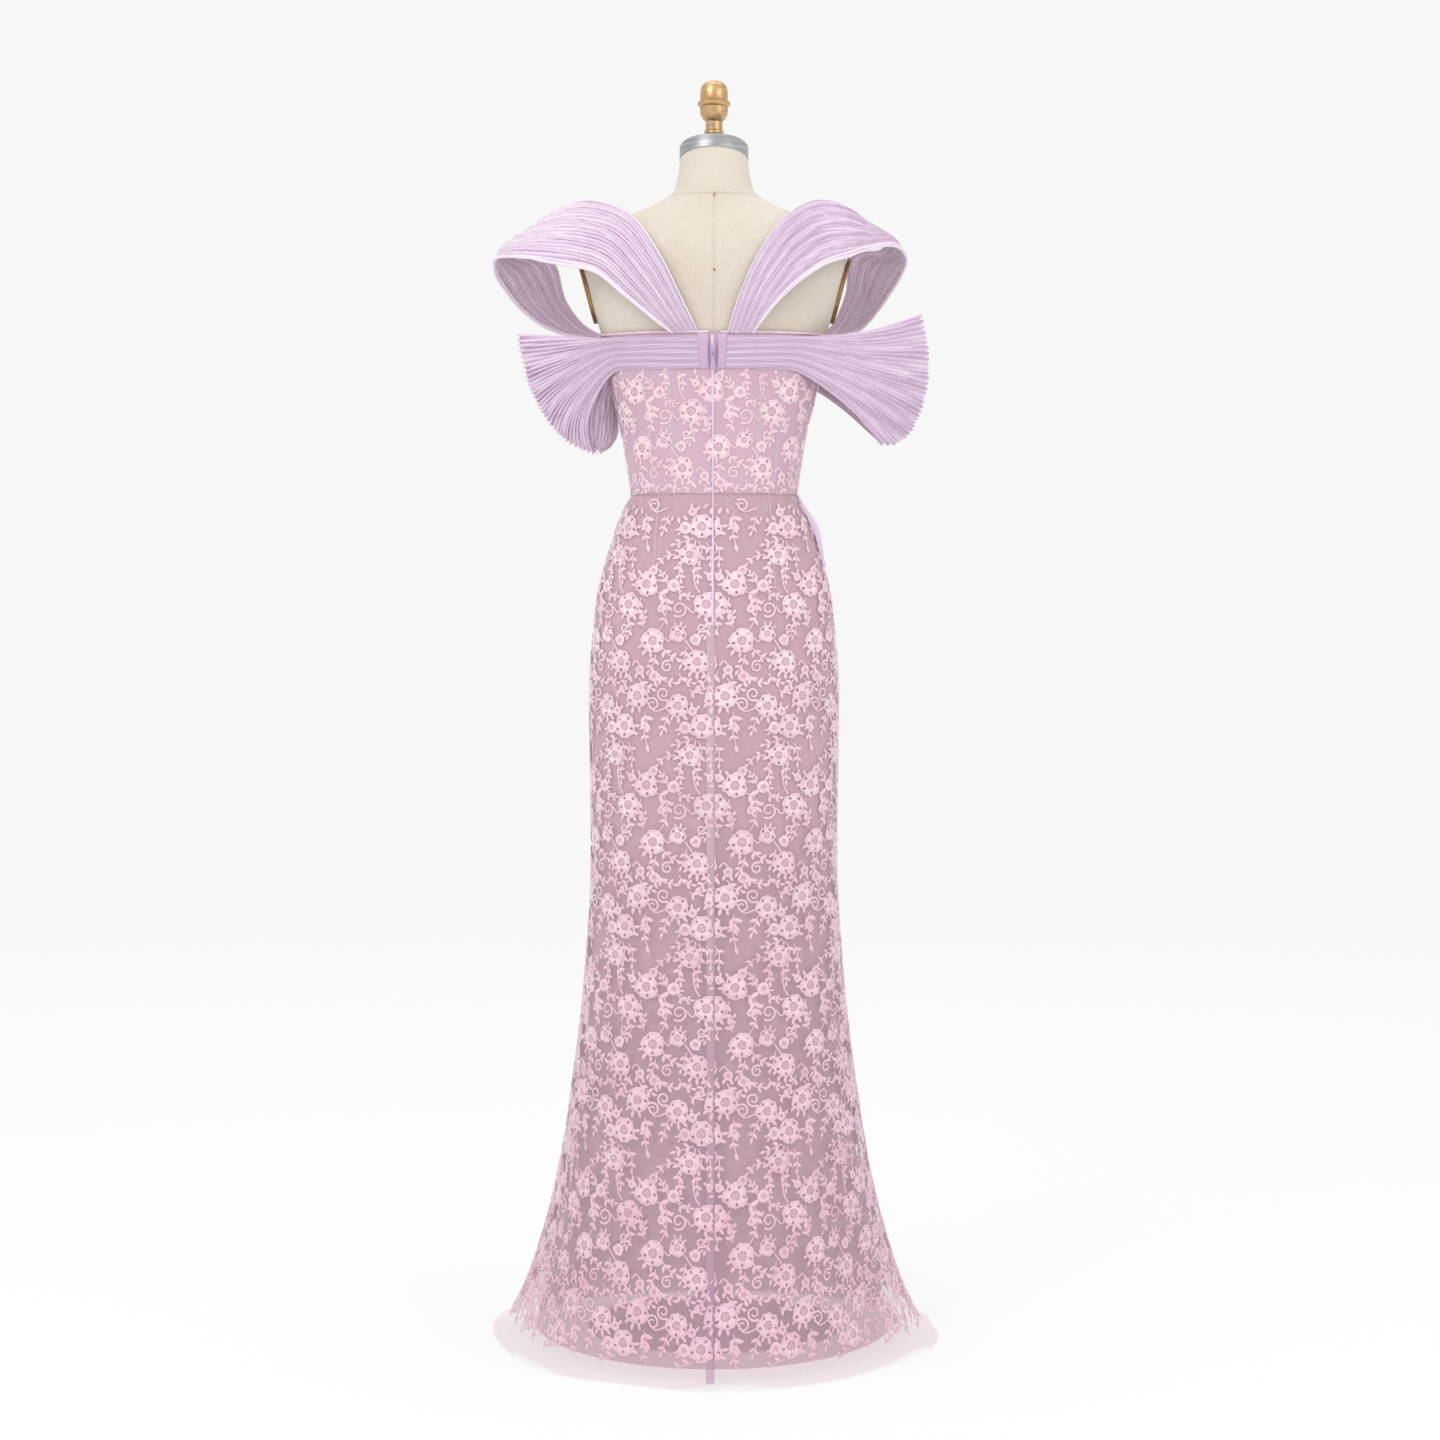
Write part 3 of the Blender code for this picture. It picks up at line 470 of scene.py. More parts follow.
def make_lace():
    paint = Paint("lace_thread", srgb(236, 200, 214), 0.6, sheen=0.35, sheen_tint=srgb(255, 240, 248))
    # The tint follows the height of each point: painted shade on low parts and cord edges, painted
    # highlight, near white, on raised cords.
    height = paint.tint()
    shade_tones = (
        (0.0, srgb(196, 150, 168)), (0.4, srgb(228, 188, 202)),
        (0.75, srgb(243, 214, 224)), (1.0, srgb(254, 240, 245)),
    )
    base = paint.ramp(height, shade_tones)
    patch = paint.ramp(paint.noise((22, 22, 22), 2.0), ((0.45, BLACK), (0.75, grey(0.35))))
    tone = paint.mix(base, srgb(214, 160, 184), patch)
    paint.colour(paint.by_height(tone, (0.86, 0.76, 0.82), 0.9))
    threads = paint.noise((1800, 1800, 1800), 2.0)
    paint.bump(threads, 0.8, 0.0006)
    return paint.material


def make_bead():
    paint = Paint("bead", srgb(250, 244, 248), 0.12, specular=0.9)
    paint.shader.inputs["Coat Weight"].default_value = 0.6
    tone = paint.noise((300, 300, 300), 1.0)
    paint.colour(paint.ramp(tone, ((0.35, srgb(232, 214, 226)), (0.6, srgb(255, 252, 255)))))
    return paint.material


def make_metal(name, dark, light, roughness, stretch):
    paint = Paint(name, light, roughness, metallic=1.0)
    brushed = paint.noise(stretch, 3.0)
    stain = paint.ramp(paint.noise((40, 40, 40), 3.0), ((0.45, BLACK), (0.8, grey(0.5))))
    tone = paint.ramp(brushed, ((0.3, dark), (0.7, light)))
    paint.colour(paint.mix(tone, dark, stain))
    paint.rough(paint.ramp(brushed, ((0.3, grey(roughness + 0.12)), (0.7, grey(roughness - 0.06)))))
    paint.bump(brushed, 0.15, 0.0003)
    return paint.material


LINEN = make_linen()
ORGANZA = make_organza()
NET = make_net()
UNDERLINING = make_lining("underlining", 1.0, srgb(208, 175, 192), srgb(196, 160, 180))
SKIRT_LINING = make_lining("skirt_lining", 0.72, srgb(226, 184, 197), srgb(212, 168, 184))
DRAPE = make_drape()
SEAM_NET = make_lining("seam_net", 0.6, srgb(232, 206, 218), srgb(222, 194, 208))
BONING = make_lining("boning_channel", 0.5, srgb(234, 212, 226), srgb(226, 202, 218))
LACE = make_lace()
BEAD = make_bead()
STEEL = make_metal("brushed_steel", srgb(142, 144, 146), srgb(196, 198, 200), 0.34, (12, 12, 900))
BRASS = make_metal("aged_brass", srgb(186, 150, 106), srgb(218, 184, 138), 0.34, (90, 90, 240))
BRONZE = make_metal("bronze", srgb(156, 120, 80), srgb(178, 142, 100), 0.42, (500, 500, 500))
IRON = make_metal("painted_iron", srgb(70, 70, 72), srgb(96, 96, 98), 0.5, (300, 300, 300))
ZIP_METAL = make_metal("zip_lacquer", srgb(176, 150, 196), srgb(204, 184, 220), 0.36, (900, 900, 900))
ZIP_METAL.node_tree.nodes["Principled BSDF"].inputs["Metallic"].default_value = 0.25


# Surfaces that lace and seams are laid on

def flute(columns, height):
    """How far the skirt's flutes stand out, from nothing at their start to most at the floor."""
    angle = np.asarray(columns) * (2 * math.pi / FULL_TURN)
    wave = sum(share * np.sin(count * angle + phase) for count, share, phase in FLUTES)
    drop = np.clip(1 - np.asarray(height) / FLUTE_START, 0, None) ** 1.3
    return FLUTE_DEPTH * wave * drop


def join_tables(lower, out):
    """Table of a skirt layer from the waist down: the body's rows moved out, then its own."""
    upper = BODY[BODY[:, 0] <= WAIST][::-1].copy()
    upper[:, 1:4] += out
    return np.concatenate([upper, lower])


class Round:
    """Cloth round the body: a fine grid of points by row down and column round."""

    def __init__(self, table, rows, columns, fluted=False):
        reach = (table[:, 1] + table[:, 2] + table[:, 3]) / 3
        drop = np.hypot(np.diff(table[:, 0]), np.diff(reach))
        places = travelled(drop)
        self.length = places[-1]
        self.down = np.linspace(0, self.length, rows)
        self.rows = smooth_table(places, table, self.down)
        self.columns = np.linspace(0, FULL_TURN, columns, endpoint=False)
        self.grid = self.at(self.rows, self.columns, fluted)
        self.fluted = fluted

    def at(self, rows, columns, fluted):
        grid = section(rows, columns)
        if fluted:
            push = flute(columns[None, :], rows[:, :1])
            away = section(rows, columns, 0.01) - grid
            grid = grid + away / np.linalg.norm(away, axis=-1, keepdims=True) * push[..., None]
            angle = columns * (2 * math.pi / FULL_TURN)
            wave = sum(share * np.sin(count * angle + phase) for count, share, phase in HEM_WAVES)
            low = np.clip(1 - rows[:, :1] / HEM_FOLD_START, 0, 1) ** 2
            grid[..., 2] += HEM_FOLD * low * np.clip(wave, 0, 1)[None, :]
        return grid


class Field:
    """Half of a Round, measured in metres across from a middle column and down from its top."""

    STEP = 0.003
    SAMPLES = 241
    SIDE_ROOM = 0.02

    def __init__(self, cloth, middle):
        reach = FULL_TURN / 4
        columns = np.linspace(middle - reach, middle + reach, self.SAMPLES)
        grid = cloth.at(cloth.rows, columns, cloth.fluted)
        step = np.linalg.norm(np.diff(grid, axis=1), axis=-1)
        arc = np.concatenate([np.zeros((len(grid), 1)), np.cumsum(step, axis=1)], axis=1)
        half = self.SAMPLES // 2
        arc -= arc[:, half : half + 1]
        self.left = arc[:, 0]
        self.right = arc[:, -1]
        self.wide = max(-self.left.min(), self.right.max()) + self.SIDE_ROOM
        self.across = np.arange(-self.wide, self.wide, self.STEP)
        self.length = cloth.length
        made = np.empty((len(grid), len(self.across), 3))
        for r in range(len(grid)):
            for axis in range(3):
                made[r, :, axis] = np.interp(self.across, arc[r], grid[r, :, axis])
        self.points = made
        self.normals = grid_normals(made)
        self.normals[np.linalg.norm(np.gradient(made, axis=1), axis=-1) < 1e-7] = 0

    def inside(self, across, down):
        """Which flat places lie on the cloth, between its two side lines."""
        r = np.clip(down / self.length * (len(self.points) - 1), 0, len(self.points) - 1)
        r = np.round(r).astype(int)
        return (across > self.left[r]) & (across < self.right[r])

    def place(self, flat, out):
        """World points of flat places (across, down), each moved out by its height."""
        rows, columns = self.points.shape[:2]
        i = np.clip(flat[:, 1] / self.length * (rows - 1), 0, rows - 1.001)
        j = np.clip((flat[:, 0] + self.wide) / self.STEP, 0, columns - 1.001)
        a, b = i.astype(int), j.astype(int)
        s, t = (i - a)[:, None], (j - b)[:, None]

        def blend(field):
            top = field[a, b] * (1 - t) + field[a, b + 1] * t
            low = field[a + 1, b] * (1 - t) + field[a + 1, b + 1] * t
            return top * (1 - s) + low * s

        return blend(self.points) + blend(self.normals) * np.asarray(out)[:, None]


net = Round(join_tables(SKIRT, SKIRT_OUT), 150, 176, fluted=True)
lining = Round(join_tables(LINING, LINING_OUT), 80, 96)
bodice_table = BODY[(BODY[:, 0] >= WAIST) & (BODY[:, 0] <= BODICE_TOP)][::-1].copy()
bodice_table[:, 1:4] += BODICE_OUT
bodice = Round(bodice_table, 40, 128)


# Lace motifs: flat shapes in millimetres, with a height for each point

class Motif:
    """Points (x, y, height, tint) and faces of one motif, in millimetres."""

    # A rose of this radius or more has all its rings and parted petals
    FULL_ROSE = 11

    def __init__(self):
        self.points = []
        self.faces = []

    def add(self, points, faces):
        start = len(self.points)
        self.points.extend(points)
        self.faces.extend([tuple(start + i for i in face) for face in faces])

    def strip(self, line, widths, height, tint):
        """Rounded cord or leaf along a line of points, as wide as given at each point."""
        line = np.asarray(line, float)
        tangent = np.gradient(line, axis=0)
        tangent /= np.maximum(np.linalg.norm(tangent, axis=1, keepdims=True), 1e-9)
        side = np.stack([-tangent[:, 1], tangent[:, 0]], axis=1)
        widths = np.broadcast_to(np.asarray(widths, float), (len(line),))
        points = []
        # Painted shade at the cord's edges: they carry less than half of its tint, its raised middle the
        # whole of it.
        for p, n, w in zip(line, side, widths):
            points.append((*(p - n * w / 2), 0.15, tint * 0.45))
            points.append((*p, height, tint))
            points.append((*(p + n * w / 2), 0.15, tint * 0.45))
        faces = []
        for a in range(0, 3 * (len(line) - 1), 3):
            faces.append((a, a + 1, a + 4, a + 3))
            faces.append((a + 1, a + 2, a + 5, a + 4))
        self.add(points, faces)

    def leaf(self, x, y, angle, length):
        """Slightly bent leaf, widest past its middle."""
        share = np.array((0, 0.25, 0.55, 0.82, 1.0))
        widths = np.array((0.125, 0.425, 0.5, 0.3, 0.03)) * length
        direction = np.array((math.cos(angle), math.sin(angle)))
        bend = np.array((-direction[1], direction[0])) * 0.08 * length
        straight = np.array((x, y)) + np.outer(share * length, direction)
        line = straight + np.outer(np.sin(share * math.pi), bend)
        self.strip(line, widths, 1.0, 0.85)

    def rose(self, x, y, radius, turn, segments, beads=None):
        """Rose with a chain-stitched rim, five parted petals and a bright ring round its open middle; the
        brightness is a painted highlight on the raised ring, and the lower rings carry painted shade.
        """
        angle = ring_angles(segments)
        outline = 0.90 + 0.10 * np.abs(np.cos(2.5 * angle + turn)) + 0.05 * np.sin(3 * angle + 2 * turn)
        outline = outline * (1 + 0.05 * np.cos(segments / 3 * angle))
        gap = np.abs(np.sin(2.5 * angle + 2.1 * turn))
        petal = np.clip(gap * 2.2, 0, 1)
        chain = 0.5 + 0.5 * np.cos(segments / 2 * angle)
        flat = np.ones(segments)
        rings = [
            # radius share, height, tint (painted shade and highlight that follow the height)
            (1.00, 0.15 * flat, 0.45 * flat),
            (0.92, 0.8 + 0.5 * chain, 0.7 + 0.3 * chain),
            (0.82, 0.35 * flat, 0.35 + 0.2 * petal),
            (0.71, 0.3 + 1.1 * petal, 0.25 + 0.65 * petal),
            (0.58, 0.3 + 0.7 * petal, 0.25 + 0.45 * petal),
            (0.50, 1.3 + 0.3 * chain, 0.8 + 0.2 * chain),
            (0.42, 1.1 * flat, 0.85 * flat),
            (0.35, 0.2 * flat, 0.1 * flat),
            (0.20, 0.2 + 0.9 * chain, 0.1 + 0.8 * chain),
        ]
        if radius < self.FULL_ROSE:
            rings = [rings[0], rings[1], rings[4], rings[6], rings[7]]
        points = []
        for share, height, tint in rings:
            r = radius * share * (outline * share + 1 - share)
            points += list(zip(x + r * np.cos(angle + turn), y + r * np.sin(angle + turn), height, tint))
        faces = []
        for f in grid_faces(len(rings), segments, wrap=True):
            ring, column = divmod(int(f[0]), segments)
            parted = radius >= self.FULL_ROSE and ring in (2, 3) and gap[column] < 0.25
            if not parted:
                faces.append(tuple(f))
        points.append((x, y, 0.7, 0.5))
        last = (len(rings) - 1) * segments
        faces += [(last + k, last + (k + 1) % segments, len(points) - 1) for k in range(segments)]
        self.add(points, faces)
        if beads is not None:
            count = 9 if radius > LARGE_ROSE else 4
            for k in range(count):
                a = turn + k * 2 * math.pi / count
                r = radius * (0.33 if k % 3 else 0.14)
                beads.append((x + r * math.cos(a), y + r * math.sin(a)))

    def leaf_fan(self, x, y, radius, direction, count, length):
        """Pointed leaves that stand out from one side of a rose."""
        for k in range(count):
            a = direction + (k - (count - 1) / 2) * 0.52
            size = length * (1.0 - 0.16 * abs(k - (count - 1) / 2))
            self.leaf(x + radius * 0.88 * math.cos(a), y + radius * 0.88 * math.sin(a), a, size)

    def spiral(self, x, y, radius, turn, hand):
        """Scroll of 1.3 turns that winds in to its middle and thins on the way."""
        t = np.linspace(0, 1, 22)
        angle = turn + hand * t * 1.3 * 2 * math.pi
        r = radius * (1 - 0.72 * t)
        line = np.stack([x + r * np.cos(angle), y + r * np.sin(angle)], axis=1)
        self.strip(line, 3.0 * (1 - 0.25 * t), 1.2, 0.95)

    def curve(self, points, width=2.4):
        """Smooth stem through a few points."""
        points = np.asarray(points, float)
        t = np.linspace(0, len(points) - 1, 9)
        places = np.arange(len(points), dtype=float)
        line = smooth_table(places, points, t)
        self.strip(line, width, 1.1, 0.85)
        return line

    def spray(self, points, leaf, pairs):
        """Stem with paired leaves and one at its tip."""
        line = self.curve(points, 2.0)
        for k in range(pairs):
            at = int((k + 0.8) / pairs * (len(line) - 2))
            p, q = line[at], line[at + 1]
            angle = math.atan2(q[1] - p[1], q[0] - p[0])
            size = leaf * (1.15 - 0.12 * k)
            self.leaf(p[0], p[1], angle + 0.85, size)
            self.leaf(p[0], p[1], angle - 0.85, size)
        end, before = line[-1], line[-2]
        self.leaf(end[0], end[1], math.atan2(end[1] - before[1], end[0] - before[0]), leaf)

    def bud(self, x, y, radius, angle):
        """Small rose with two leaves beside its tip."""
        self.rose(x, y, radius, angle, segments=10)
        for shift in (-0.7, 0.7):
            foot_x = x + radius * 0.7 * math.cos(angle + shift)
            foot_y = y + radius * 0.7 * math.sin(angle + shift)
            self.leaf(foot_x, foot_y, angle + shift * 0.6, radius * 1.3)


# One repeat of the lace, in millimetres
LARGE_ROSE = 12
TILE_WIDTH = 108.0
TILE_HEIGHT = 266.0
ROSES = (
    # x, y, radius, turn, direction and number of the leaves at its side
    (4, 20, 17, 0.2, 1.9, 3), (60, 33, 16, 1.1, 1.2, 4), (92, 60, 17, 0.6, 0.2, 2),
    (70, 62, 9, 0.3, 2.6, 2), (76, 98, 15, 1.7, 2.9, 3), (17, 138, 17, 0.9, 3.6, 3),
    (98, 165, 17, 2.0, 1.3, 4), (55, 140, 9, 0.5, 0.4, 2), (26, 213, 17, 1.3, 2.2, 3),
    (60, 204, 12, 0.1, 5.0, 3), (86, 241, 16, 0.8, 1.8, 4), (84, 212, 8, 1.9, 5.4, 2),
)
BUDS = (
    # x, y, radius, angle
    (80, 40, 6.5, -1.2), (27, 119, 7, 2.2), (8, 252, 7, 1.6),
    (38, 171, 6, 0.4), (104, 128, 6, -2.0), (28, 260, 8, 0.7),
)
SCROLLS = (
    # x, y, radius, turn, hand
    (26, 31, 9, -2.4, 1), (41, 17, 9.5, 0.9, 1), (62, 171, 11, 2.2, -1),
    (46, 247, 8, -1.0, -1), (92, 196, 6, 0.5, 1),
)
SPRAYS = (
    # stem points, leaf length
    (((82, 76), (70, 80), (58, 84)), 9), (((88, 80), (92, 92), (90, 106)), 9),
    (((66, 110), (62, 120), (64, 130)), 9), (((80, 112), (86, 120), (87, 131)), 8.5),
    (((58, 98), (44, 100), (34, 110)), 8), (((48, 44), (44, 54), (40, 66)), 9),
    (((30, 148), (42, 152), (46, 166), (44, 184), (36, 198)), 12),
    (((60, 148), (68, 154), (76, 154)), 8), (((50, 135), (42, 130), (38, 124)), 7.5),
    (((10, 156), (6, 166), (8, 178)), 8.5), (((14, 196), (10, 188), (14, 178)), 8),
    (((98, 184), (102, 194), (98, 206)), 8), (((40, 222), (46, 230), (58, 236)), 9),
    (((72, 222), (70, 234), (66, 244)), 8.5), (((30, 232), (28, 242), (22, 252)), 9),
    (((14, 42), (18, 54), (14, 68), (18, 84)), 11), (((98, 82), (104, 94), (104, 108)), 8.5),
    (((76, 12), (84, 16), (92, 12)), 8), (((102, 254), (98, 264), (90, 272)), 9),
    (((34, 256), (42, 266), (54, 268)), 9), (((62, 256), (68, 266), (78, 268)), 8.5),
    (((6, 262), (14, 272), (24, 276)), 9),
)
STEMS = (
    ((17, 26), (30, 40), (48, 34)), ((78, 60), (84, 52), (80, 44)), ((84, 78), (82, 88), (78, 90)),
    ((33, 134), (40, 132), (48, 138)), ((72, 168), (80, 176), (86, 170)), ((40, 208), (48, 214), (52, 208)),
    ((70, 212), (80, 226), (84, 232)), ((90, 150), (84, 140), (80, 118)), ((8, 246), (2, 240), (-4, 246)),
    ((46, 160), (52, 162), (56, 160)),
)


def lace_tile(rose_points):
    """One repeat of the lace: its motifs, and the places of its beads."""
    tile = Motif()
    beads = []
    for x, y, radius, turn, side, count in ROSES:
        large = radius > LARGE_ROSE
        tile.rose(x, y, radius, turn, segments=rose_points if large else 14, beads=beads)
        tile.leaf_fan(x, y, radius, side, count, 10.5 if large else 7.5)
    for bud in BUDS:
        tile.bud(*bud)
    for scroll in SCROLLS:
        tile.spiral(*scroll)
    for points, leaf in SPRAYS:
        tile.spray(points, leaf, pairs=4 if len(points) > 3 else 2)
    for points in STEMS:
        tile.curve(points)
    return np.array(tile.points), tile.faces, np.array(beads)


def shape_groups(count, faces):
    """Number of the connected shape that each point belongs to."""
    parent = list(range(count))

    def root(i):
        while parent[i] != i:
            parent[i] = parent[parent[i]]
            i = parent[i]
        return i

    for face in faces:
        first = root(face[0])
        for i in face[1:]:
            parent[root(i)] = first
    return np.array([root(i) for i in range(count)])


def add_beads(name, places):
    """Eight-sided beads of slightly different sizes at the places given."""
    size = rng.uniform(0.0007, 0.0011, len(places))
    corners = np.array(((1, 0, 0), (-1, 0, 0), (0, 1, 0), (0, -1, 0), (0, 0, 1), (0, 0, -1)), float)
    upper = ((0, 2, 4), (2, 1, 4), (1, 3, 4), (3, 0, 4))
    lower = ((2, 0, 5), (1, 2, 5), (3, 1, 5), (0, 3, 5))
    sides = np.array(upper + lower)
    points = places[:, None] + corners[None] * size[:, None, None]
    faces = (sides[None] + np.arange(len(places))[:, None, None] * len(corners)).reshape(-1, 3)
    made = new_mesh(name, points, faces, BEAD, smooth=False)
    return made


# Gap between the lace and the cloth, and height of a bead's middle over the cloth
LACE_GAP = 0.0002
BEAD_LIFT = 0.0011


def lay_lace(name, field, phase, top, bottom, cut=None, rose_points=30):
    """Repeats the tile over a field, cut at its sides and whole at its top and bottom, with beads."""
    points, faces, beads = lace_tile(rose_points)
    groups = shape_groups(len(points), faces)
    low, high = cut or (-field.wide, field.wide)
    all_points, all_faces, all_tints, bead_places = [], [], [], []
    start = 0
    columns = range(int(low * 1000 / TILE_WIDTH) - 2, int(high * 1000 / TILE_WIDTH) + 2)
    for row in range(-1, int(bottom * 1000 / TILE_HEIGHT) + 2):
        for column in columns:
            shift = np.array((column * TILE_WIDTH + phase[0], row * TILE_HEIGHT + phase[1]))
            flat = (points[:, :2] + shift) / 1000
            across = field.inside(flat[:, 0], flat[:, 1]) & (flat[:, 0] >= low) & (flat[:, 0] <= high)
            missed = set(groups[(flat[:, 1] < top) | (flat[:, 1] > bottom)])
            keep = across & np.array([g not in missed for g in groups])
            if not keep.any():
                continue
            index = np.full(len(points), -1)
            index[keep] = np.arange(keep.sum()) + start
            start += keep.sum()
            all_points.append(field.place(flat[keep], points[keep, 2] / 1000 + LACE_GAP))
            all_tints.append(points[keep, 3])
            all_faces.extend([tuple(index[list(f)]) for f in faces if all(keep[i] for i in f)])
            flat = (beads + shift) / 1000
            good = field.inside(flat[:, 0], flat[:, 1]) & (flat[:, 1] > top) & (flat[:, 1] < bottom)
            good &= (flat[:, 0] >= low) & (flat[:, 0] <= high)
            bead_places.append(field.place(flat[good], np.full(good.sum(), BEAD_LIFT)))
    made = new_mesh(name, np.concatenate(all_points), all_faces, LACE, tint=np.concatenate(all_tints))
    return [made, add_beads(name + "_beads", np.concatenate(bead_places))]


def ribbon(name, field, middle, downs, profile, material, tint=0.7, lift=0.0):
    """Strip on a field: middle(down) is its place across, profile its places across and heights."""
    profile = np.asarray(profile)
    grid = []
    for across, height in profile:
        flat = np.stack([np.array([middle(d) for d in downs]) + across, downs], axis=1)
        grid.append(field.place(flat, np.full(len(downs), height + lift)))
    grid = np.stack(grid, axis=1)
    made = grid_object(name, grid, material, tint=np.full(grid.shape[:2], tint))
    return made


# Profiles of ribbons: places across and heights
RIDGE = ((-0.0011, 0.0), (-0.0006, 0.0006), (0.0, 0.0002), (0.0006, 0.0006), (0.0011, 0.0))
CHANNEL = (
    (-0.0040, 0.0002), (-0.0036, 0.0007), (-0.0031, 0.0004),
    (0.0031, 0.0004), (0.0036, 0.0007), (0.0040, 0.0002),
)
SEAM_ALLOWANCE = ((-0.0095, 0.0002), (-0.0090, 0.0005), (-0.0050, 0.0004), (-0.0008, 0.0005))


# Gown pieces

def down_at(cloth, height):
    """How far down a cloth a height lies."""
    return float(np.interp(-height, -cloth.rows[:, 0], cloth.down))


def add_skirt():
    """Net skirt and its lining, the lace on the net and the seams at its back."""
    shell = grid_object("net_skirt", net.grid, NET, wrap=True)
    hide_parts("skirt_back_left", "skirt_back_right", "skirt_front")
    inner = grid_object("lining_skirt", lining.grid, SKIRT_LINING, wrap=True)
    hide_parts("lining_back_left", "lining_back_right", "lining_front")
    back = Field(net, BACK)
    front = Field(net, FRONT)
    end = net.length - 0.030
    extra = lay_lace("lace_back_left", back, (0, -14), 0.004, end, cut=(-back.wide, 0.0))
    extra += lay_lace("lace_back_right", back, (11, -14), 0.004, end, cut=(0.0, back.wide))
    extra += lay_lace("lace_front", front, (20, -14), 0.004, end, rose_points=18)
    zip_end = down_at(net, ZIP_END)
    seam = np.linspace(zip_end, net.length - 0.004, 150)
    extra.append(ribbon("seam_back", back, lambda d: 0.0, seam, RIDGE, SEAM_NET, 0.8, 0.0004))
    extra.append(ribbon("seam_allowance", back, lambda d: 0.0, seam, SEAM_ALLOWANCE, SEAM_NET, 0.5))
    dart = np.linspace(0.001, down_at(net, DART_END), 40)
    for name, side in (("dart_left", -1), ("dart_right", 1)):
        line = lambda d, k=side: k * (0.076 + 0.05 * d)
        extra.append(ribbon(name, back, line, dart, RIDGE, SEAM_NET, 0.6))
    waist = np.linspace(0, FULL_TURN, 220)
    points, faces = tube(section(body_row(WAIST), waist, SKIRT_OUT + 0.0002)[0], 0.0008, 6)
    extra.append(new_mesh("waist_seam", points, faces, SEAM_NET, tint=np.full(len(points), 0.6)))


def add_bodice(zip_ridge):
    """Underlined bodice with its lace, boning channels and corded top edge."""
    shell = grid_object("bodice_shell", bodice.grid, UNDERLINING, wrap=True)
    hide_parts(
        "bodice_back_left", "bodice_back_right", "bodice_side_back_left", "bodice_side_back_right",
        "bodice_side_front_left", "bodice_side_front_right", "bodice_front",
    )
    back = Field(bodice, BACK)
    front = Field(bodice, FRONT)
    under_band = down_at(bodice, BAND_BOTTOM) - 0.002
    extra = [zip_ridge]
    extra += lay_lace("lace_bodice_back", back, (-20, -60), under_band, bodice.length + 0.02)
    extra += lay_lace("lace_bodice_front", front, (10, -40), 0.003, bodice.length + 0.02, rose_points=18)
    whole = np.linspace(under_band, bodice.length - 0.001, 40)
    for start, field, places in (
        ("boning_", back, (-0.064, 0.068, 0.101, -0.101)),
        ("boning_front_", front, (-0.10, -0.055, 0.055, 0.10)),
    ):
        for number, place in enumerate(places):
            line = lambda d, x=place: x * (1 - 0.9 * d)
            extra.append(ribbon(f"{start}{number}", field, line, whole, CHANNEL, BONING))
    round_top = np.linspace(0.12, FULL_TURN - 0.12, 240)
    line = section(body_row(BODICE_TOP), round_top, BODICE_OUT + 0.0006)[0]
    line[:, 2] += 0.0004 * np.cos(round_top * 12)
    points, faces = tube(line, 0.0014, 8)
    extra.append(new_mesh("bodice_edge", points, faces, LACE, tint=0.6 + 0.3 * rng.random(len(points))))


# The arm openings are closed by flat plates: their lowest and highest place, and the half width of the
# form there, which grows with the height over the plate's foot
ARM_LOW = 1.338
ARM_HIGH = 1.47
ARM_FOOT = 1.345
ARM_HALF = 0.1526
ARM_SLOPE = 0.2654

# The neck leans forward towards its top
NECK_FOOT = 1.528
NECK_RISE = 0.049
NECK_FORWARD = 0.016
NECK_RADIUS = 0.0460
NECK_FLARE = 0.0095
NECK_LEAN = -18
CAP_MIDDLE = (0, 0.016, 1.577)


def add_form():
    """Linen torso and neck on a fine grid."""
    heights = np.linspace(BODY[0, 0], BODY[-1, 0], 110)
    rows = body_row(heights)
    columns = np.linspace(0, FULL_TURN, 112, endpoint=False)
    grid = section(rows, columns)
    limit = ARM_HALF + ARM_SLOPE * (heights - ARM_FOOT)
    for r in np.flatnonzero((heights > ARM_LOW) & (heights < ARM_HIGH)):
        grid[r, :, 0] = np.clip(grid[r, :, 0], -limit[r], limit[r])
    rings = [grid]
    unit_row = np.array(((0.0, 1.0, 1.0, 1.0, 2.0),))
    circle = section(unit_row, columns)[0]
    for t in np.linspace(0, 1, 10)[1:]:
        tilt = math.radians(NECK_LEAN * t)
        radius = NECK_RADIUS + NECK_FLARE * (1 - t) ** 1.6
        middle = np.array((0, NECK_FORWARD * t, NECK_FOOT + NECK_RISE * t))
        ring = circle * radius
        turned = np.stack([ring[:, 0], ring[:, 1] * math.cos(tilt), ring[:, 1] * math.sin(tilt)], axis=1)
        rings.append((middle + turned)[None])
    grid = np.concatenate(rings)
    down = np.broadcast_to(grid[:, :1, 2], grid.shape[:2])
    across = np.broadcast_to((columns / FULL_TURN * 0.9)[None], grid.shape[:2])
    uv = np.stack([across, down], axis=-1)
    made = new_mesh("linen_form", grid, capped_faces(len(grid), len(columns)), LINEN, uv=uv)
    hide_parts("form_torso")


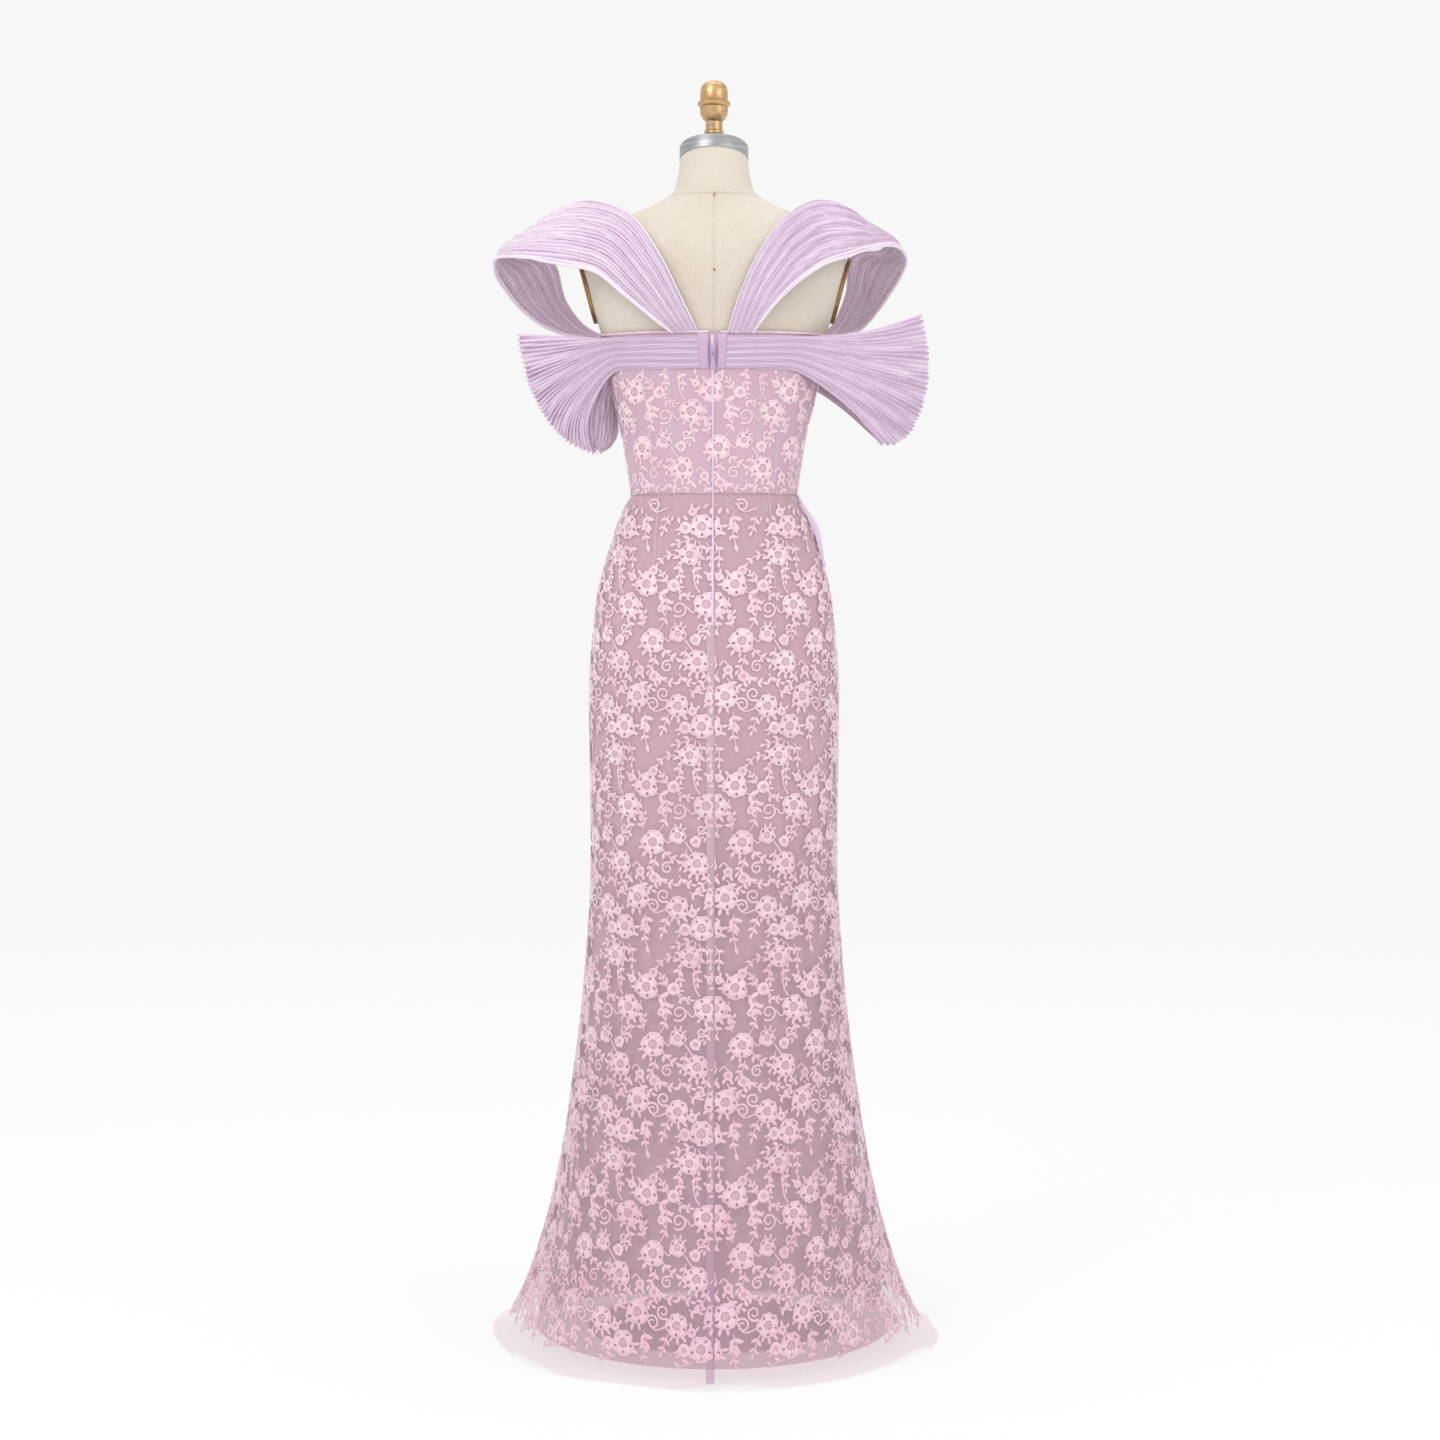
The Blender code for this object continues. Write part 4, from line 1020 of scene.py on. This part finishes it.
def add_form_seams():
    """Seam down the form's back, the seam round its neck and two pins."""
    seam_heights = np.linspace(BODICE_TOP, 1.526, 90)
    across = np.array((-0.0022, -0.0012, -0.0004, 0.0, 0.0004, 0.0012, 0.0022))
    lift = np.array((0.0, 0.0006, 0.0005, -0.0003, 0.0005, 0.0006, 0.0))
    line = body_point(seam_heights, 0.0, 0.0)
    seam = line[:, None] + np.stack([across, -lift - 0.0001, 0 * across], axis=1)[None]
    made = grid_object("form_seam", seam, LINEN)
    neck = section(body_row(1.527), np.linspace(0, FULL_TURN, 120), 0.0002)[0]
    points, faces = tube(neck, 0.0007, 6)
    made = new_mesh("neck_seam", points, faces, LINEN)
    for number, height in enumerate((1.5235, 1.4194)):
        place = body_point(np.array(height), np.array(0.0), 0.0)
        line = place + np.array(((0.0008, -0.0026, 0), (0.0008, -0.0006, 0), (0.0008, 0.002, 0)))
        points, faces = tube(line, (0.0012, 0.0013, 0.0010), 12)
        made = new_mesh(f"pin_{number}", points, faces, BRONZE)


def catmull(rows, steps):
    """Smooth curve through rows of numbers, evenly divided between them."""
    rows = np.asarray(rows, float)
    padded = np.concatenate([[2 * rows[0] - rows[1]], rows, [2 * rows[-1] - rows[-2]]])
    made = []
    for k in range(1, len(padded) - 2):
        p0, p1, p2, p3 = padded[k - 1 : k + 3]
        for t in np.arange(steps) / steps:
            square = 2 * p0 - 5 * p1 + 4 * p2 - p3
            cube = 3 * p1 - p0 - 3 * p2 + p3
            made.append(0.5 * (2 * p1 + (p2 - p0) * t + square * t**2 + cube * t**3))
    made.append(rows[-1])
    return np.array(made)


def ripple(turns):
    return np.sin(2 * math.pi * turns)


def pleats(grid, count, most, steepness, seed, crinkle=0.0):
    """Presses pleats into a smooth grid; returns the grid and how far out each point is, from 0 to 1."""
    local = np.random.default_rng(seed)
    rows, columns = grid.shape[:2]
    share = np.linspace(0, 1, columns)[None]
    along = np.linspace(0, 1, rows)[:, None]
    wander = np.zeros((rows, columns))
    for _ in range(4):
        height = local.uniform(0.1, 0.3)
        turns = share * local.uniform(2, 6) + along * local.uniform(1, 4)
        wander = wander + height * np.sin(2 * math.pi * turns + local.uniform(0, 6.28))
    phase = share * count + wander * 0.35
    wave = 1 - 2 * np.abs(np.sin(math.pi * phase)) ** 0.75
    size = 1 + 0.3 * ripple(share * 5.3 + along * 1.7) + 0.2 * ripple(share * 11.1 - along * 3.1)
    width = np.linalg.norm(np.diff(grid, axis=1), axis=-1).sum(axis=1)[:, None]
    depth = np.minimum(most, width / count * steepness) * size
    small = ripple(share * count * 2.3 + along * 9 + wander * 2) * ripple(along * 23 + share * 17)
    moved = grid + grid_normals(grid) * (depth * (wave + crinkle * small))[..., None]
    return moved, np.clip(0.5 + 0.5 * wave * size, 0, 1)


def column_at(x):
    """Column near the centre back that lies x metres to the side."""
    return x / body_point(np.array(BODICE_TOP), np.array(1.0), 0.0)[0]


FANS = {
    "left": {
        "tab": (-0.0054, -0.0190), "back_column": -6, "front_column": -10, "centre": (-0.142, 1.296),
        "arc": (
            # share of the way down, angle, radius
            (0.0, 159.0, 0.1320), (0.2, 180.0, 0.1140), (0.5, 210.0, 0.1075),
            (0.8, 242.0, 0.1130), (1.0, 263.0, 0.1160),
        ),
        "top_bow": (0.0, 0.0), "bottom_bow": (-0.022, -0.006),
    },
    "right": {
        "tab": (0.0034, 0.0149), "back_column": 4, "front_column": 12, "centre": (0.116, 1.293),
        "arc": (
            (0.0, 25.5, 0.1785), (0.25, 7.0, 0.1733), (0.5, -11.0, 0.1710), (0.75, -27.0, 0.1695),
            (0.9, -36.0, 0.1630), (1.0, -42.0, 0.1445),
        ),
        "top_bow": (0.0, -0.010), "bottom_bow": (0.0, 0.010),
    },
}
FAN_PLEATS = 32
CURL_PLEATS = 9
POINTS_PER_PLEAT = 8

# Rows of points along the band, and between the body and the fan's rim
BAND_ROWS = 26
FAN_ROWS = 34
RIM_ROW = BAND_ROWS + FAN_ROWS - 2

CURL = (
    # inner edge x, y, z, outer edge x, y, z
    (-0.1440, -0.030, 1.2930, -0.1390, 0.030, 1.2880),
    (-0.1640, -0.018, 1.2760, -0.1335, 0.035, 1.2620),
    (-0.1760, -0.012, 1.2520, -0.1310, 0.035, 1.2350),
    (-0.1800, -0.008, 1.2260, -0.1315, 0.030, 1.2110),
    (-0.1770, -0.003, 1.2040, -0.1390, 0.022, 1.1940),
    (-0.1700, 0.000, 1.1880, -0.1540, 0.010, 1.1830),
)


def add_curl():
    """Lower edge of the left sleeve, curled in under it beside the bodice."""
    edges = catmull(CURL, 14)
    share = np.linspace(0, 1, POINTS_PER_PLEAT * CURL_PLEATS + 1)[None, :, None]
    grid = edges[:, None, :3] * (1 - share) + edges[:, None, 3:] * share
    grid = grid + grid_normals(grid) * (0.010 * np.sin(math.pi * share))
    grid, tint = pleats(grid, CURL_PLEATS, 0.0016, 0.3, 31)
    # Painted shade: the curl under the sleeve gets its pleat tint darkened by a fifth.
    made = grid_object("sleeve_left_curl", grid, ORGANZA, tint=tint * 0.8)
    return made


def add_sleeve(side):
    """Band along the back neckline that flares into the arm fan, in one pleated length."""
    fan = FANS[side]
    columns = POINTS_PER_PLEAT * FAN_PLEATS + 1
    share = np.linspace(0, 1, columns)
    height = BAND_TOP + (BAND_BOTTOM - BAND_TOP) * share
    first = column_at(fan["tab"][1])
    rows = []
    for column in np.linspace(first, fan["back_column"], BAND_ROWS):
        rows.append(body_point(height, column, BAND_OUT))
    arc = np.array(fan["arc"])
    angle = np.radians(smooth_table(arc[:, 0], arc[:, 1:2], share)[:, 0])
    radius = smooth_table(arc[:, 0], arc[:, 2:3], share)[:, 0]
    x, z = fan["centre"]
    rim = np.stack([x + radius * np.cos(angle), np.zeros(columns), z + radius * np.sin(angle)], axis=1)
    bow = np.outer(1 - share, fan["top_bow"]) + np.outer(share, fan["bottom_bow"])
    for front in (False, True):
        column = fan["front_column"] if front else fan["back_column"]
        root = body_point(height, column, BAND_OUT)
        steps = 1 - np.linspace(1, 0, FAN_ROWS) ** 1.7
        if front:
            steps = steps[::-1]
        for step in steps[1:]:
            line = root + (rim - root) * step
            line[:, 1] = root[:, 1] * max(0.0, 1 - step) ** 0.6
            line[:, 0] += bow[:, 0] * math.sin(math.pi * step)
            line[:, 2] += bow[:, 1] * math.sin(math.pi * step)
            rows.append(line)
    grid = np.array(rows)
    soften = np.ones(len(grid))
    soften[:10] = 0
    soften[RIM_ROW - 6 : RIM_ROW + 8] = 0.25
    for _ in range(14):
        smoothed = grid.copy()
        smoothed[1:-1] = (grid[:-2] + 2 * grid[1:-1] + grid[2:]) / 4
        grid = grid + (smoothed - grid) * soften[:, None, None]
    grid, out = pleats(grid, FAN_PLEATS, 0.0024, 0.36, 11 if side == "left" else 12)
    # The pleats' depth becomes the tint: painted shade in their valleys, painted light on their ridges.
    made = grid_object("sleeve_" + side, grid, ORGANZA, tint=out)
    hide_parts("band_" + side, "arm_fan_" + side)
    [add_curl()] if side == "left" else []


TAB_ROWS = 24
TAB_COLUMNS = 14


def add_band_end(side):
    """Smooth end tab of the band beside the zip, its edges turned in."""
    heights = np.linspace(BAND_TOP + 0.002, BAND_BOTTOM, TAB_ROWS)
    edges = np.linspace(*(column_at(x) for x in FANS[side]["tab"]), TAB_COLUMNS)
    tab = np.stack([body_point(heights, c, BAND_OUT + 0.0009) for c in edges], axis=1)
    over = np.linspace(-1, 1, TAB_COLUMNS)[None] ** 8 + np.linspace(-1, 1, TAB_ROWS)[:, None] ** 8
    tab = tab + np.array((0, 1, 0)) * (0.0016 * np.clip(over, 0, 1))[..., None]
    if side == "left":
        tab = tab[:, ::-1]
    # Painted shade: the flat tab takes a tint near the dark end of the pleat shade, as dark as the shaded
    # pleated band beside it.
    tab_piece = grid_object("band_end_" + side, tab, ORGANZA, tint=np.full(tab.shape[:2], 0.12))
    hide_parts("band_tab_" + side)


LOOPS = {
    "left": {
        "back_foot": (-0.017, -0.0565), "front_columns": (-12.3, -10.6),
        "sections": (
            # upper edge x, y, z, lower edge x, y, z
            (-0.0380, -0.110, 1.3707, -0.0780, -0.113, 1.3533),
            (-0.0714, -0.106, 1.4380, -0.1183, -0.121, 1.3854),
            (-0.1116, -0.067, 1.4960, -0.1530, -0.118, 1.4132),
            (-0.1667, -0.010, 1.5204, -0.1896, -0.105, 1.4248),
            (-0.2090, 0.020, 1.5142, -0.2375, -0.080, 1.4352),
            (-0.2435, 0.035, 1.4920, -0.2697, -0.050, 1.4431),
            (-0.2750, 0.050, 1.4697, -0.2908, -0.012, 1.4447),
            (-0.2620, 0.075, 1.4620, -0.2970, 0.020, 1.4385),
            (-0.2200, 0.088, 1.4484, -0.2928, 0.045, 1.4196),
            (-0.2033, 0.100, 1.3955, -0.2626, 0.065, 1.3820),
            (-0.1700, 0.107, 1.3580, -0.2180, 0.073, 1.3535),
        ),
    },
    "right": {
        "back_foot": (0.015, 0.0535), "front_columns": (12.3, 10.6),
        "sections": (
            (0.0356, -0.110, 1.3894, 0.0750, -0.116, 1.3672),
            (0.0622, -0.103, 1.4478, 0.1000, -0.120, 1.3930),
            (0.0958, -0.066, 1.4950, 0.1237, -0.118, 1.4117),
            (0.1357, -0.012, 1.5208, 0.1484, -0.110, 1.4275),
            (0.1747, 0.018, 1.5183, 0.1774, -0.092, 1.4390),
            (0.2066, 0.035, 1.4980, 0.2063, -0.060, 1.4514),
            (0.2346, 0.050, 1.4800, 0.2408, -0.015, 1.4613),
            (0.2280, 0.075, 1.4640, 0.2590, 0.018, 1.4490),
            (0.1884, 0.088, 1.4562, 0.2535, 0.045, 1.4246),
            (0.1808, 0.102, 1.4040, 0.2245, 0.065, 1.3817),
            (0.1560, 0.107, 1.3560, 0.1930, 0.078, 1.3514),
        ),
    },
}
LOOP_PLEATS = 20
LOOP_FOOT_HEIGHT = 1.3362
LOOP_STEPS = 12

# A point inside the body that the loops stand away from
LOOP_INSIDE = (0, 0, 1.38)


def add_loop(side):
    """Wide crinkled loop over the shoulder, with its lower edge rolled."""
    loop = LOOPS[side]
    out = BODICE_OUT + 0.0016
    back = [column_at(x) for x in loop["back_foot"]]
    feet = [
        body_point(np.full(2, LOOP_FOOT_HEIGHT), np.array(foot, float), out).ravel()
        for foot in (back, loop["front_columns"])
    ]
    edges = catmull([feet[0], *loop["sections"], feet[1]], LOOP_STEPS)
    columns = POINTS_PER_PLEAT * LOOP_PLEATS + 1
    share = np.linspace(0, 1, columns)[None, :, None]
    grid = edges[:, None, :3] * (1 - share) + edges[:, None, 3:] * share
    normal = grid_normals(grid)
    outer = np.sign((normal * (grid - np.array(LOOP_INSIDE))).sum(axis=-1).mean())
    swell = np.sin(np.linspace(0, math.pi, len(grid))) ** 0.7
    crown = 0.006 * swell[:, None, None] * (4 * share * (1 - share)) * outer
    grid = grid + normal * crown
    grid, tint = pleats(grid, LOOP_PLEATS, 0.0019, 0.30, 21 if side == "left" else 22, crinkle=0.25)
    # The pleats' depth becomes the tint: painted shade in their valleys, painted light on their ridges.
    made = grid_object("loop_" + side, grid, ORGANZA, tint=tint)
    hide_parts("shoulder_loop_" + side)
    for number, (column, radius) in enumerate(((columns - 1, 0.0022), (columns - 6, 0.0016), (0, 0.0012))):
        points, faces = tube(grid[:, column], radius * np.minimum(1, 0.45 + 2 * swell), 10)
        name = f"loop_{side}_edge_{number}"
        cord = new_mesh(name, points, faces, ORGANZA, tint=np.full(len(points), 0.8))


def add_hip_drape():
    """Small drape in front of the right hip, its back edge turned in to the body."""
    columns = np.linspace(7.7, 13, 90)
    heights = np.linspace(1.1262, 1.030, 60)
    across = (columns - columns[0]) / (columns[-1] - columns[0])
    fall = (heights[0] - heights) / (heights[0] - heights[-1])
    fold = 0.5 - 0.5 * np.cos(2 * math.pi * 3 * across + math.pi)
    belly = np.sin(math.pi * np.minimum(1, fall + 0.1))
    lift = 0.0012 + 0.0075 * (1 - across)[None] * belly[:, None] + 0.004 * fold[None] * fall[:, None]
    grid = section(body_row(heights), columns, SKIRT_OUT + 0.0008)
    away = section(body_row(heights), columns, SKIRT_OUT + 0.0108) - grid
    away /= np.linalg.norm(away, axis=-1, keepdims=True)
    turned_in = np.clip(across / 0.08, 0, 1) ** 0.5
    grid = grid + away * (lift * turned_in)[..., None]
    tint = np.broadcast_to(0.35 + 0.5 * fold[None], grid.shape[:2])
    made = grid_object("drape_hip", grid, DRAPE, tint=tint)
    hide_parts("hip_drape")


ZIP_RIBS = 260


def add_zip():
    """Ridge of the invisible zip down the centre back."""
    heights = np.linspace(BAND_TOP, ZIP_END, ZIP_RIBS)
    across = np.linspace(-1, 1, 7)
    edges = [column_at(-0.0014 + s * 0.0015) for s in across]
    dome = 0.0012 * (1 - across**2)
    rib = 0.00025 * np.cos(np.arange(ZIP_RIBS) * math.pi)
    grid = np.stack([body_point(heights, c, SKIRT_OUT + 0.0005 + d) for c, d in zip(edges, dome)], axis=1)
    grid[..., 1] -= rib[:, None] * (dome > 0)[None]
    made = grid_object("zip_ridge", grid, ORGANZA, tint=np.full(grid.shape[:2], 0.4))
    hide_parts("zip_coil")
    return made


FINIAL_PROFILE = (
    # radius, height
    (0.0120, 1.6140), (0.0132, 1.6155), (0.0132, 1.6185), (0.0114, 1.6200), (0.0114, 1.6310),
    (0.0150, 1.6340), (0.0182, 1.6400), (0.0192, 1.6510), (0.0218, 1.6525), (0.0226, 1.6550),
    (0.0214, 1.6575), (0.0180, 1.6590),
    (0.0189, 1.6615), (0.0186, 1.6720), (0.0165, 1.6790), (0.0120, 1.6835), (0.0060, 1.6855),
)


def add_finial():
    """Turned finial, its profile divided finely so that it shades well."""
    low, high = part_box("finial")
    middle = ((low.x + high.x) / 2, (low.y + high.y) / 2)
    whole = np.array(((FINIAL_PROFILE[0][0], low.z + 0.008), *FINIAL_PROFILE))
    fine = []
    for a, b in zip(whole, whole[1:]):
        for t in np.linspace(0, 1, 4)[:-1]:
            fine.append(a + (b - a) * t)
    fine.append(whole[-1])
    made = lathe("finial_turned", fine, BRASS, middle=(*middle, 0))
    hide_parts("finial")


CAP_RADIUS = 0.0465
CAP_LOW = 0.0003
CAP_HIGH = 0.0195
CAP_EDGE = 0.0012


def add_cap():
    """Steel neck cap with rounded edges, leaned with the neck."""
    quarter = np.linspace(0, math.pi / 2, 5)
    profile = [
        (CAP_RADIUS - CAP_EDGE * (1 - math.sin(a)), CAP_LOW + CAP_EDGE * (1 - math.cos(a)))
        for a in quarter
    ]
    profile += [
        (CAP_RADIUS - CAP_EDGE * (1 - math.cos(a)), CAP_HIGH - CAP_EDGE * (1 - math.sin(a)))
        for a in quarter
    ]
    made = lathe("cap_steel", profile, STEEL, CAP_MIDDLE, sides=120, lean=math.radians(NECK_LEAN))
    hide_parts("neck_cap")


def paint_solids():
    """Materials of the hard parts that keep their own solids."""
    for node, material in (
        ("arm_plate_left", BRONZE), ("arm_plate_right", BRONZE), ("set_screw", STEEL),
        ("stand_base", IRON), ("stand_pole", IRON), ("zip_slider", ZIP_METAL), ("zip_pull", ZIP_METAL),
    ):
        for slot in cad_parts[node].material_slots:
            slot.material = material


FLOOR_REACH = 60.0
FLOOR_GLOW = 0.651
WORLD_STRENGTH = 0.93
LIGHTS = (
    # name, place, turn, size, power
    ("key", (-2.2, -3.0, 3.4), (0.85, 0.0, -0.63), 2.2, 44),
    ("fill", (2.6, -2.6, 2.4), (1.05, 0.0, 0.78), 2.4, 20),
    ("top", (0.0, 0.6, 4.2), (0.0, 0.0, 0.0), 3.0, 20),
)
CAMERA_PLACE = (0.0081, -4.6, 0.95)
CAMERA_DOWN = 1.575
CAMERA_LENS = 85.2
CAMERA_SENSOR = 36


def stand_in(name, data, place, turn):
    """Object of the studio at a place."""
    made = bpy.data.objects.new(name, data)
    made.location = place
    made.rotation_euler = turn
    bpy.context.scene.collection.objects.link(made)
    return made


def add_studio():
    """Pale floor, even pale surroundings, soft light from above and both sides, and the camera."""
    points = [(x * FLOOR_REACH, y * FLOOR_REACH, 0.0) for x, y in ((-1, -1), (1, -1), (1, 1), (-1, 1))]
    mesh = bpy.data.meshes.new("floor")
    mesh.from_pydata(points, [], [(0, 1, 2, 3)])
    paint = Paint("floor", grey(0.30), 0.9, specular=0.0)
    paint.shader.inputs["Emission Color"].default_value = (1, 1, 1, 1)
    paint.shader.inputs["Emission Strength"].default_value = FLOOR_GLOW
    mesh.materials.append(paint.material)
    floor = stand_in("floor", mesh, (0, 0, 0), (0, 0, 0))
    world = bpy.data.worlds.new("studio")
    world.use_nodes = True
    sky = world.node_tree.nodes["Background"].inputs
    sky["Color"].default_value = (1, 1, 1, 1)
    sky["Strength"].default_value = WORLD_STRENGTH
    bpy.context.scene.world = world
    for name, place, turn, size, power in LIGHTS:
        light = bpy.data.lights.new(name, "AREA")
        light.energy = power
        light.size = size
        stand_in(name, light, place, turn)
    camera = bpy.data.cameras.new("camera")
    camera.lens = CAMERA_LENS
    camera.sensor_width = CAMERA_SENSOR
    camera.sensor_height = CAMERA_SENSOR
    turn = (math.radians(90 - CAMERA_DOWN), 0, 0)
    bpy.context.scene.camera = stand_in("camera", camera, CAMERA_PLACE, turn)
    bpy.context.scene.view_settings.view_transform = "Standard"


add_studio()
add_form()
add_form_seams()
add_bodice(add_zip())
add_skirt()
for side in ("left", "right"):
    add_sleeve(side)
    add_band_end(side)
    add_loop(side)
add_hip_drape()
add_finial()
add_cap()
paint_solids()
